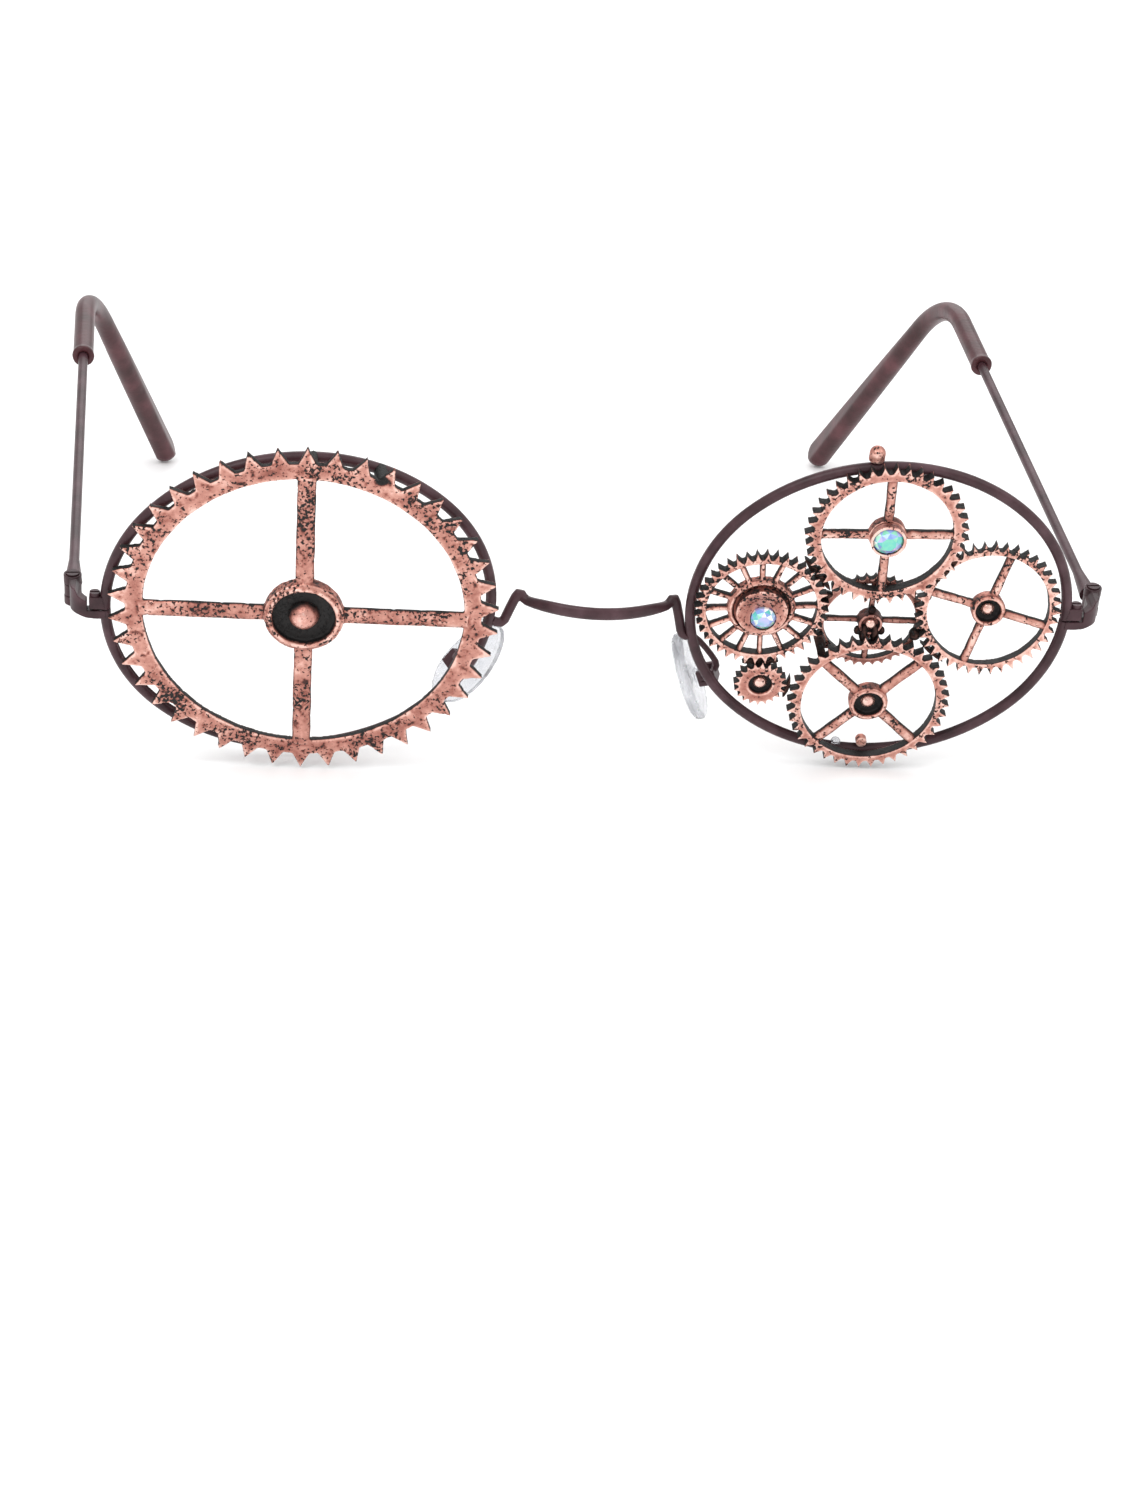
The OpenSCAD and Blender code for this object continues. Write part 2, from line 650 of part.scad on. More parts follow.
// A spoke from the hub to the ring along an angle, with bevelled front edges.
module spoke(angle, from, to, w, t) {
  b = w * 0.28;
  rotate([0, 0, angle]) translate([from, 0, 0]) rotate([90, 0, 90]) linear_extrude(to - from)
    polygon([[-w / 2, 0], [w / 2, 0], [w / 2, t - b], [w / 2 - b, t],
      [b - w / 2, t], [-w / 2, t - b]]);
}

// A low dome of base radius a and height h.
module dome(a, h) {
  r = (a * a + h * h) / (2 * h);
  intersection() {
    translate([0, 0, h - r]) sphere(r = r);
    cylinder(h = h, r = a);
  }
}

// A riveted stud: a domed head in a well, a shank through the hub and a flat tail behind.
rivet_share = 0.45;
module rivet(head_r, head_h, floor_z) {
  translate([0, 0, floor_z]) dome(head_r, head_h);
  translate([0, 0, -0.3]) cylinder(h = floor_z + 0.3 + eps, r = head_r * rivet_share);
  translate([0, 0, -0.3]) cylinder(h = 0.3 - fixed_fit, r = head_r * rivet_share + 0.3);
}
module rivet_hole(head_r) {
  translate([0, 0, -1]) cylinder(h = bore_reach, r = head_r * rivet_share + fixed_fit);
}

// Ring sprocket: a toothed ring with four spokes and a raised hub with a well.
ring_hub_h = ring_thick + 1.1;
ring_well_z = 0.9;
ring_rivet_h = 1.9;
ring_spoke_t = 1.4;

module on_ring() {
  on_eye(LEFT, ring_at, ring_back) rotate([0, ring_turn, 0]) children();
}

module ring_sprocket() {
  color(copper) on_ring() difference() {
    union() {
      linear_extrude(ring_thick) difference() {
        polygon(teeth_outline(ring_teeth, ring_tip_r, ring_root_r, 0.25, 5));
        circle(r = ring_inner_r, $fn = fine);
      }
      for (a = [0:90:270])
        spoke(a, ring_hub_r - 0.4, ring_inner_r + 0.4, ring_spoke_w, ring_spoke_t);
      cylinder(h = ring_hub_h, r = ring_hub_r);
    }
    translate([0, 0, ring_well_z]) cylinder(h = ring_hub_h, r = ring_well_r);
    translate([0, 0, ring_thick - 0.25])
      cylinder(h = 0.25 + eps, r1 = ring_inner_r - 0.05, r2 = ring_inner_r + 0.3);
    rivet_hole(ring_rivet_r);
  }
}

module ring_rivet() {
  color(copper) on_ring() rivet(ring_rivet_r, ring_rivet_h, ring_well_z + fixed_fit);
}

// Ring mount: a stud through the ring to the eye wire, and a peg behind the top tooth.
ring_stud_x = 10;
ring_stud_at = [ring_stud_x, eye_half_h * sqrt(1 - pow(ring_stud_x / eye_half_w, 2))];
ring_stud_d = 1.8;
ring_peg_at = [1.3, eye_half_h + 1.65];
ring_peg_d = 1.1;

function ring_gap(x) = ring_back + (x - ring_at.x) * sin(-ring_turn);

module ring_mount() {
  color(dark_patina) difference() {
    union() {
      on_eye(LEFT, ring_stud_at, 0) {
        cylinder(h = ring_gap(ring_stud_at.x) - seat_gap - 0.1, d = ring_stud_d);
      }
      on_eye(LEFT, ring_peg_at, 0) {
        translate([0, -1.2, 0]) cylinder(h = ring_gap(ring_peg_at.x) - seat_gap - 0.1, d = ring_peg_d);
      }
    }
    eye(LEFT) rim_oval(rim_wire_d, 0);
  }
}

// The cluster's gears are joined edge to edge, so each leaves out what an earlier one fills.
gears = [[top_at, top_r], [outer_at, outer_r], [bottom_at, bottom_r], [wheel_at, wheel_r],
  [pinion_at, pinion_r]];
TOP = 0;
OUTER = 1;
BOTTOM = 2;
WHEEL = 3;
PINION = 4;

module gear_flat(i) {
  at = gears[i][0];
  r = gears[i][1];
  translate(at) polygon(teeth_outline(teeth_on(r), r, r - tooth_depth, 0.3, 3));
}

// Flat outline of one gear's ring, less the tips of the gears before it.
module gear_ring(i, inner_r) {
  difference() {
    gear_flat(i);
    translate(gears[i][0]) circle(r = inner_r, $fn = fine);
    if (i > 0) for (k = [0:i - 1])
      if (norm(gears[k][0] - gears[i][0]) < gears[k][1] + gears[i][1] - solder_inset)
        translate(gears[k][0]) circle(r = gears[k][1], $fn = fine);
  }
}

module in_cluster() {
  on_eye(RIGHT, [0, 0], gear_back) children();
}

module hub_well(r, floor_z) {
  translate([0, 0, floor_z]) cylinder(h = bore_reach, r = r);
}

top_inner_r = 8.8;
top_hub_r = 2.9;
bezel_pin_r = 0.9;
bezel_wall = 0.4;
bezel_base = 0.3;
bezel_h = 1.1;
module top_gear() {
  color(copper) in_cluster() difference() {
    union() {
      linear_extrude(gear_thick) gear_ring(TOP, top_inner_r);
      translate(top_at) {
        for (a = [0:90:270]) spoke(a + 2, top_hub_r - 0.4, top_inner_r + 0.3, 1.3, gear_thick - 0.2);
        cylinder(h = gear_thick, r = top_hub_r);
      }
    }
    translate([top_at.x, top_at.y, -1]) cylinder(h = bore_reach, r = bezel_pin_r + fixed_fit);
  }
}

module stone_bezel() {
  r = top_stone_d / 2 + bezel_wall;
  color(copper) in_cluster() translate([top_at.x, top_at.y, gear_thick + fixed_fit]) {
    difference() {
      cylinder(h = bezel_h, r = r);
      translate([0, 0, bezel_base]) cylinder(h = bezel_h, d = top_stone_d + 2 * fixed_fit);
    }
    translate([0, 0, -gear_thick]) cylinder(h = gear_thick + eps, r = bezel_pin_r);
  }
}

// A cut stone: a flat back, a girdle, eight slanted facets and a small table.
module stone(d) {
  girdle = 0.12 * d;
  crown = 0.22 * d;
  cylinder(h = girdle, d = d);
  translate([0, 0, girdle]) cylinder(h = crown, d1 = d, d2 = 0.5 * d, $fn = 8);
}

module top_stone() {
  color(stone_tint) in_cluster()
    translate([top_at.x, top_at.y, gear_thick + bezel_base + 2 * fixed_fit]) stone(top_stone_d);
}

outer_inner_r = 8.3;
outer_hub_r = 2.3;
outer_well_r = 1.7;
outer_rivet_r = 1;
small_floor = 0.8;
rivet_rise = 0.7;
module outer_gear() {
  color(copper) in_cluster() difference() {
    union() {
      linear_extrude(gear_thick) gear_ring(OUTER, outer_inner_r);
      translate(outer_at) {
        for (a = [0:90:270]) spoke(a - 16, outer_hub_r - 0.3, outer_inner_r + 0.3, 1.2, gear_thick - 0.2);
        cylinder(h = gear_thick + 0.3, r = outer_hub_r);
      }
    }
    translate(outer_at) {
      hub_well(outer_well_r, small_floor);
      rivet_hole(outer_rivet_r);
    }
  }
}

bottom_inner_r = 9.35;
bottom_hub_r = 2.7;
bottom_well_r = 2;
bottom_rivet_r = 1.1;
module bottom_gear() {
  color(copper) in_cluster() difference() {
    union() {
      linear_extrude(gear_thick) gear_ring(BOTTOM, bottom_inner_r);
      translate(bottom_at) {
        for (a = [0:90:270])
          spoke(a + 47, bottom_hub_r - 0.3, bottom_inner_r + 0.3, 1.5, gear_thick - 0.2);
        cylinder(h = gear_thick + 0.3, r = bottom_hub_r);
      }
    }
    translate(bottom_at) {
      hub_well(bottom_well_r, small_floor);
      rivet_hole(bottom_rivet_r);
    }
  }
}

wheel_inner_r = 7.5;
wheel_hub_r = 4.6;
wheel_groove_r = 3.9;
wheel_groove_z = 1;
dish_r = 3.5;
dish_h = 1.3;
dish_pin_r = 0.9;
module spoked_wheel() {
  color(copper) in_cluster() difference() {
    union() {
      linear_extrude(gear_thick) gear_ring(WHEEL, wheel_inner_r);
      translate(wheel_at) {
        for (k = [0:wheel_spokes - 1])
          spoke(k * 360 / wheel_spokes + 4, wheel_hub_r - 0.3, wheel_inner_r + 0.3, 0.75,
            gear_thick - 0.3);
        cylinder(h = gear_thick + 0.2, r = wheel_hub_r);
      }
    }
    translate(wheel_at) {
      hub_well(wheel_groove_r, wheel_groove_z);
      translate([0, 0, -1]) cylinder(h = bore_reach, r = dish_pin_r + fixed_fit);
    }
  }
}

// Wheel dish: a round bowl in the wheel's hub that holds a stone low on its rim.
bowl_depth = 0.8;
bowl_r = 3.1;
wheel_stone_off = [0.3, -1.2];
stone_floor = 0.45;
module wheel_dish() {
  ball = (bowl_r * bowl_r + bowl_depth * bowl_depth) / (2 * bowl_depth);
  color(copper) in_cluster()
    translate([wheel_at.x, wheel_at.y, wheel_groove_z + fixed_fit]) difference() {
      union() {
        cylinder(h = dish_h, r = dish_r);
        translate([0, 0, -wheel_groove_z]) cylinder(h = wheel_groove_z + eps, r = dish_pin_r);
      }
      translate([0, 0, dish_h - bowl_depth + ball]) sphere(r = ball);
      translate([wheel_stone_off.x, wheel_stone_off.y, stone_floor])
        cylinder(h = 3, d = wheel_stone_d + 2 * fixed_fit);
    }
}

module wheel_stone() {
  color(stone_tint) in_cluster()
    translate([wheel_at.x + wheel_stone_off.x, wheel_at.y + wheel_stone_off.y,
      wheel_groove_z + stone_floor + 2 * fixed_fit]) stone(wheel_stone_d);
}

pinion_well_r = 1.6;
pinion_rivet_r = 1;
module pinion_gear() {
  color(copper) in_cluster() difference() {
    linear_extrude(gear_thick) difference() {
      gear_ring(PINION, 0.1);
    }
    translate(pinion_at) {
      hub_well(pinion_well_r, small_floor);
      rivet_hole(pinion_rivet_r);
    }
  }
}

// Middle gear: it lies behind the others, face to face with their backs.
middle_inner_r = 6;
middle_hub_r = 1.7;
middle_rivet_r = 0.8;
module middle_gear() {
  color(copper) in_cluster() translate([middle_at.x, middle_at.y, -middle_thick]) difference() {
    union() {
      linear_extrude(middle_thick) difference() {
        polygon(teeth_outline(teeth_on(middle_r), middle_r, middle_r - tooth_depth, 0.3, 3));
        circle(r = middle_inner_r);
      }
      for (a = [0:90:270]) spoke(a, middle_hub_r - 0.3, middle_inner_r + 0.3, 1, middle_thick);
      cylinder(h = middle_thick + 0.8, r = middle_hub_r);
    }
    hub_well(1.2, middle_thick + 0.2);
    rivet_hole(middle_rivet_r);
  }
}

module gear_rivets() {
  color(copper) in_cluster() {
    floor_z = small_floor + fixed_fit;
    translate(outer_at) rivet(outer_rivet_r, rivet_rise, floor_z);
    translate(bottom_at) rivet(bottom_rivet_r, rivet_rise, floor_z);
    translate(pinion_at) rivet(pinion_rivet_r, rivet_rise, floor_z);
    translate([middle_at.x, middle_at.y, -middle_thick])
      rivet(middle_rivet_r, rivet_rise, middle_thick + 0.2 + fixed_fit);
  }
}

// Solder that fills the space between the teeth of two neighbours, sunk below their faces.
solder_reach = 0.6;
solder_sink = 0.5;
module web(i, k) {
  linear_extrude(gear_thick - solder_sink) difference() {
    intersection() {
      translate(gears[i][0]) circle(r = gears[i][1] + solder_reach, $fn = fine);
      translate(gears[k][0]) circle(r = gears[k][1] + solder_reach, $fn = fine);
    }
    gear_flat(i);
    gear_flat(k);
  }
}

// Solder in the tooth gaps of the first gear, where the second gear's teeth reach into them.
solder_inset = 0.04;
module pockets(i, k) {
  linear_extrude(gear_thick - solder_sink) difference() {
    intersection() {
      translate(gears[i][0]) circle(r = gears[i][1] - solder_inset, $fn = fine);
      translate(gears[k][0]) circle(r = gears[k][1] - solder_inset, $fn = fine);
    }
    gear_flat(i);
  }
}

strap_w = 1.4;
module cluster_solder() {
  color(dark_patina) in_cluster() {
    pockets(TOP, OUTER);
    web(TOP, WHEEL);
    web(OUTER, BOTTOM);
    web(WHEEL, PINION);
    web(BOTTOM, PINION);
    strap();
  }
}

// A long strap of solder between the spoked wheel and the lower gear.
module strap() {
  from = [-8.1, -2.9];
  to = [-6.9, -6.6];
  step = to - from;
  linear_extrude(gear_thick - solder_sink) difference() {
    translate(from) rotate([0, 0, atan2(step.y, step.x)])
      translate([0, -strap_w / 2]) square([norm(step), strap_w]);
    gear_ring(BOTTOM, 0.1);
    gear_ring(WHEEL, 0.1);
  }
}

// Two pegs that hold the cluster: a ball on the eye wire above the top gear, and a post
// inside the eye wire behind the lower one.
peg_r = 1.1;
peg_foot = eye_half_h + rim_r + fixed_fit;
peg_top = [-3.3, peg_foot + 1];
post_r = 0.8;
post_at = [0.3, post_r + fixed_fit + rim_r - eye_half_h];
module cluster_pegs() {
  color(copper) {
    on_eye(RIGHT, [peg_top.x, peg_foot], gear_back - peg_r) {
      rotate([-90, 0, 0]) cylinder(h = peg_top.y - peg_foot, r = peg_r - 2 * rod_step);
      translate([0, peg_top.y - peg_foot, 0]) sphere(r = peg_r);
    }
    on_eye(RIGHT, post_at, -0.4) cylinder(h = gear_back + 0.4 - fixed_fit, r = post_r);
  }
}

// Beads of clear glue where the cluster's top and bottom meet the eye wire.
bead_r = 1.1;
bead_places = [[-4, eye_half_h - 1.25], [2.4, eye_half_h - 0.95], [-3.2, 1.15 - eye_half_h]];
module glue_beads() {
  color(glue_tint) difference() {
    for (p = bead_places) on_eye(RIGHT, p, -0.1) intersection() {
      sphere(r = bead_r);
      translate([0, 0, -1 - bead_r]) cylinder(h = bead_r + 1 + gear_back - 0.15, r = 2 * bead_r);
    }
    eye(RIGHT) rim_oval(rim_wire_d, 0);
  }
}

left_eye_wire();
right_eye_wire();
bridge();
left_end_piece();
right_end_piece();
left_lock_block();
right_lock_block();
lock_screws();
hinge_screws();
left_pad_arm();
right_pad_arm();
pad_screws();
left_nose_pad();
right_nose_pad();
left_temple();
right_temple();
left_ear_sleeve();
right_ear_sleeve();
ring_sprocket();
ring_rivet();
ring_mount();
top_gear();
outer_gear();
bottom_gear();
spoked_wheel();
wheel_dish();
pinion_gear();
middle_gear();
gear_rivets();
stone_bezel();
top_stone();
wheel_stone();
cluster_solder();
cluster_pegs();
glue_beads();
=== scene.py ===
import math

import bmesh
import bpy
import numpy as np
from mathutils import Matrix, Vector, noise


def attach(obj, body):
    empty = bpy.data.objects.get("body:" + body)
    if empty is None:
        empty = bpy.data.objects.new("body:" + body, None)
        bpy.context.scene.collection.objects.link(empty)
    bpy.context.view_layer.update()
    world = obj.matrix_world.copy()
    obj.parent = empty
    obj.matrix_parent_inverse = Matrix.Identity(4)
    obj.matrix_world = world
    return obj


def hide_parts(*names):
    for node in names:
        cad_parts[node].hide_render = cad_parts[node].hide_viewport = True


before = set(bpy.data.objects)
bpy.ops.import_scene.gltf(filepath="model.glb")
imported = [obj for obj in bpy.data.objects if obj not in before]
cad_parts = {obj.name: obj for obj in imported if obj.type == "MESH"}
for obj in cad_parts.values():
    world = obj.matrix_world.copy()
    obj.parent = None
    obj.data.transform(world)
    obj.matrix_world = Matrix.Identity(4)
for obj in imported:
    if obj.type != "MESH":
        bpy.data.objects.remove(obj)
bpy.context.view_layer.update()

# Camera: the spectacles stand open on a table and are seen from above the front, a little from
# their right, with a lens of 75 mm on a frame whose long side is 36 mm.
camera_data = bpy.data.cameras.new("camera")
camera_data.lens = 74.772
camera_data.sensor_width = 36
camera_data.clip_start, camera_data.clip_end = 0.01, 20
camera = bpy.data.objects.new("camera", camera_data)
camera.location = (-0.043903, -0.440625, 0.185119)
camera.rotation_euler = [math.radians(a) for a in (64.8046, -3.0999, -5.1210)]
bpy.context.scene.collection.objects.link(camera)
bpy.context.scene.camera = camera

# Eye wires: steel wire, bent to an oval and dipped in a chocolate-brown lacquer. The lacquer is
# thin, a little uneven and half gloss. Each wire has a groove for a lens, and its ends are closed
# by a small block.


def linear(hex_colour):
    """An sRGB hex colour as linear red, green and blue, with an alpha of one."""
    parts = [int(hex_colour[i:i + 2], 16) / 255 for i in (1, 3, 5)]
    return (*(c / 12.92 if c <= 0.04045 else ((c + 0.055) / 1.055) ** 2.4 for c in parts), 1.0)


def add(tree, kind, inputs=None, stops=(), **settings):
    """Adds one node. An input takes a value, an output, or a node for its first output.

    A list of nodes is linked to one input in turn. Stops are a colour ramp's places and hex
    colours.
    """
    made = tree.nodes.new(kind)
    for key, value in settings.items():
        setattr(made, key, value)
    for key, value in (inputs or {}).items():
        for source in value if isinstance(value, list) else [value]:
            if isinstance(source, bpy.types.Node):
                source = source.outputs[0]
            if isinstance(source, bpy.types.NodeSocket):
                tree.links.new(source, made.inputs[key])
            else:
                made.inputs[key].default_value = source
    if stops:
        while len(made.color_ramp.elements) < len(stops):
            made.color_ramp.elements.new(1)
        for element, (place, colour) in zip(made.color_ramp.elements, stops):
            element.position, element.color = place, linear(colour)
    return made


def new_material(name):
    """A material that has no nodes yet, and its tree."""
    made = bpy.data.materials.new(name)
    made.use_nodes = True
    made.node_tree.nodes.clear()
    return made, made.node_tree


def lacquer(name, dark, mid, light, roughness):
    """Sprayed or dipped lacquer: a thin gloss film with slow changes of tone and a fine ripple."""
    made, tree = new_material(name)
    place = add(tree, "ShaderNodeTexCoord").outputs["Object"]
    # The tone changes over about 4 mm. The ripple is drawn at 0.4 mm, as coarse as it needs to
    # show, and is 0.02 mm high.
    tone = add(tree, "ShaderNodeTexNoise", {"Vector": place, "Scale": 260, "Detail": 4})
    ripple = add(tree, "ShaderNodeTexNoise", {"Vector": place, "Scale": 2600, "Detail": 2})
    colours = add(tree, "ShaderNodeValToRGB", {"Fac": tone},
                  stops=[(0.3, dark), (0.5, mid), (0.72, light)])
    skin = add(tree, "ShaderNodeBump", {"Height": ripple, "Distance": 0.00002})
    film = add(tree, "ShaderNodeBsdfPrincipled", {
        "Base Color": colours, "Roughness": roughness, "Specular IOR Level": 0.3,
        "Normal": skin})
    add(tree, "ShaderNodeOutputMaterial", {"Surface": film})
    return made


# Lacquer gives the wires a soft brown sheen, with darker and redder stretches.
brown_lacquer = lacquer("chocolate lacquer", "#2e1b1f", "#40282d", "#52393f", 0.38)


def node_copy(name, node):
    """A merged copy of a CAD node's mesh, in millimetres."""
    mesh = bpy.data.meshes.new(name)
    work = bmesh.new()
    work.from_mesh(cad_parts[node].data)
    bmesh.ops.remove_doubles(work, verts=work.verts, dist=1e-7)
    bmesh.ops.recalc_face_normals(work, faces=work.faces)
    bmesh.ops.scale(work, vec=(1000, 1000, 1000), verts=work.verts)
    work.to_mesh(mesh)
    work.free()
    made = bpy.data.objects.new(name, mesh)
    bpy.context.scene.collection.objects.link(made)
    return made


def smooth_by_angle(mesh, degrees):
    """Smooth shading, with edges sharper than the angle kept."""
    work = bmesh.new()
    work.from_mesh(mesh)
    for face in work.faces:
        face.smooth = True
    for edge in work.edges:
        edge.smooth = len(edge.link_faces) < 2 or edge.calc_face_angle(0) < math.radians(degrees)
    work.to_mesh(mesh)
    work.free()


def in_metres(made):
    """Brings a piece that was made in millimetres to the scene's metres."""
    made.data.transform(Matrix.Scale(0.001, 4))


def finish_piece(made, body, material, node):
    """Gives a piece its finish and its body, and hides the CAD node that it stands for."""
    made.data.materials.clear()
    made.data.materials.append(material)
    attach(made, body)
    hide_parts(node)


def crisp(name, node, body):
    """A lacquered piece with the CAD node's own shape, smooth but for its real edges."""
    made = node_copy(name, node)
    smooth_by_angle(made.data, 32)
    in_metres(made)
    finish_piece(made, body, brown_lacquer, node)


for side in ("left", "right"):
    crisp(side + "_rim", side + "_eye_wire", "front")

# Bridge: round steel wire with a flattened middle, soldered to the inner sides of both eye wires.
# The solder leaves a soft swelling at each foot, under the same lacquer.


def with_modifiers(made):
    """Turns the object's modifiers into plain mesh."""
    graph = bpy.context.evaluated_depsgraph_get()
    mesh = bpy.data.meshes.new_from_object(made.evaluated_get(graph))
    made.modifiers.clear()
    made.data = mesh


def fuse(made, voxel):
    """Melts the object's shells into one skin of small faces. Sizes are in millimetres."""
    change = made.modifiers.new("fuse", "REMESH")
    change.mode, change.voxel_size, change.use_smooth_shade = "VOXEL", voxel, True
    bpy.context.view_layer.update()
    with_modifiers(made)


def points_of(mesh):
    """The mesh's points as rows of an array."""
    co = np.empty(len(mesh.vertices) * 3, np.float32)
    mesh.vertices.foreach_get("co", co)
    return co.reshape(-1, 3).astype(float)


def set_points(mesh, co):
    """Moves the mesh's points to the rows of an array."""
    mesh.vertices.foreach_set("co", co.astype(np.float32).ravel())
    mesh.update()


def relaxed(mesh, co, rounds):
    """The points after some rounds of moving each halfway to its neighbours' middle."""
    edges = np.empty(len(mesh.edges) * 2, np.int32)
    mesh.edges.foreach_get("vertices", edges)
    a, b = edges.reshape(-1, 2).T
    count = np.maximum(np.bincount(np.r_[a, b], minlength=len(co)), 1)[:, None]
    for _ in range(rounds):
        total = np.stack([np.bincount(np.r_[a, b], np.r_[co[b, k], co[a, k]], len(co))
                          for k in range(3)], 1)
        co = co + 0.5 * (total / count - co)
    return co


def dipped(name, node, body, voxel, rounds, material=brown_lacquer):
    """A piece with the CAD node's shape, its corners rounded by a coat or by moulding."""
    made = node_copy(name, node)
    fuse(made, voxel)
    set_points(made.data, relaxed(made.data, points_of(made.data), rounds))
    in_metres(made)
    finish_piece(made, body, material, node)


dipped("bridge_wire", "bridge", "front", voxel=0.09, rounds=14)

# End pieces, locks and screws: stamped steel arms with hinge barrels, and the small blocks that
# close the eye wires. Their corners are rounded by tumbling. The screws are steel, turned in
# before the frame was lacquered.
for side in ("left", "right"):
    dipped(side + "_hinge_arm", side + "_end_piece", "front", voxel=0.07, rounds=4)
    dipped(side + "_closing_block", side + "_lock_block", "front", voxel=0.06, rounds=3)
for kind in ("lock", "hinge", "pad"):
    crisp(kind + "_screw_set", kind + "_screws", "front")

# Nose pads: clear soft plastic, moulded round a stem that rocks in a small box. The box sits on
# a bent wire, which is soldered to the back of the eye wire.


def clear_plastic():
    """Moulded clear plastic: a smooth skin that hazes a little with wear."""
    made, tree = new_material("clear moulded plastic")
    place = add(tree, "ShaderNodeTexCoord").outputs["Object"]
    # The haze lies in patches of 1.4 mm, as coarse as it needs to show.
    haze = add(tree, "ShaderNodeTexNoise", {"Vector": place, "Scale": 700, "Detail": 3})
    rough = add(tree, "ShaderNodeMapRange", {"Value": haze, "From Min": 0.3, "From Max": 0.7,
                                             "To Min": 0.1, "To Max": 0.3})
    tint = add(tree, "ShaderNodeValToRGB", {"Fac": haze},
               stops=[(0.35, "#dfe1e6"), (0.7, "#f2f3f6")])
    skin = add(tree, "ShaderNodeBump", {"Height": haze, "Distance": 0.00003})
    body = add(tree, "ShaderNodeBsdfPrincipled", {
        "Base Color": tint, "Roughness": rough, "IOR": 1.46, "Transmission Weight": 0.85,
        "Normal": skin})
    add(tree, "ShaderNodeOutputMaterial", {"Surface": body})
    return made


pad_plastic = clear_plastic()
for side in ("left", "right"):
    dipped(side + "_pad_wire", side + "_pad_arm", "front", voxel=0.07, rounds=4)
    dipped(side + "_pad", side + "_nose_pad", side + "_nose_pad", voxel=0.12, rounds=10,
           material=pad_plastic)

# Temples: straight steel wires with a tapered leaf at the hinge, lacquered as the front is, and
# bent down at the ears. Plastic sleeves, which look a little redder, are pushed over the bends.
sleeve_skin = lacquer("brown sleeve plastic", "#35181a", "#462428", "#5a3237", 0.34)
for side in ("left", "right"):
    crisp(side + "_arm", side + "_temple", side + "_temple")
    dipped(side + "_sleeve", side + "_ear_sleeve", side + "_temple", voxel=0.16, rounds=12,
           material=sleeve_skin)

# Ring sprocket: a white-metal casting, copper plated, blackened and then rubbed bright on its
# high places. It is rough, so black stays in its pits, on its inner walls and between its teeth.
# Solder holds it on the left eye wire, and a round-headed rivet sits in its hub.
LEAN, ROLL, LIFT = 8.20999, -0.206822, 24.9464
MIDDLE_X, MIDDLE_Y = 1.48, -59.21
EYE_SPACING, EYE_TILT, EYE_WRAP = 78.3, 4.9, -2.5
RING_AT, RING_TURN, RING_BACK = (0.4, 1.35), -5, 2.966
RING_HUB, RING_WELL, HUB_LAND = 5.3, 4.2, 0.1
# Dirty places on the ring: x, y, radius and depth of a dent, in millimetres.
RING_SOIL = ((9.5, 21.6, 0.9, 0.35), (-4.2, 23.2, 2.4, 0), (18.2, 13.5, 3.2, 0),
             (17.6, -13.4, 2.0, 0), (9.5, -20.4, 3.6, 0), (-1, -22, 3.4, 0), (0, 14, 3.4, 0),
             (12.5, 0.4, 4, 0), (-12.5, 0.4, 4, 0), (0, -14, 3.0, 0), (-17, -14, 2.2, 0),
             (22.2, -2.5, 2, 0))
LEFT, RIGHT = -1, 1


def turned(degrees, axis):
    """A turn about one axis."""
    return Matrix.Rotation(math.radians(degrees), 4, axis)


def eye_frame(side):
    """From one eye wire's own frame to the part's frame, in millimetres."""
    return (Matrix.Translation((MIDDLE_X, MIDDLE_Y, LIFT)) @ turned(ROLL, "Y") @ turned(LEAN, "X")
            @ Matrix.Translation((side * EYE_SPACING / 2, 0, 0))
            @ turned(side * EYE_WRAP, "Z") @ turned(EYE_TILT, "X"))


def on_eye(side, at, depth):
    """From a drawing on the front of an eye wire, with +Z to the front."""
    return eye_frame(side) @ Matrix.Translation((at[0], -depth, at[1])) @ turned(90, "X")


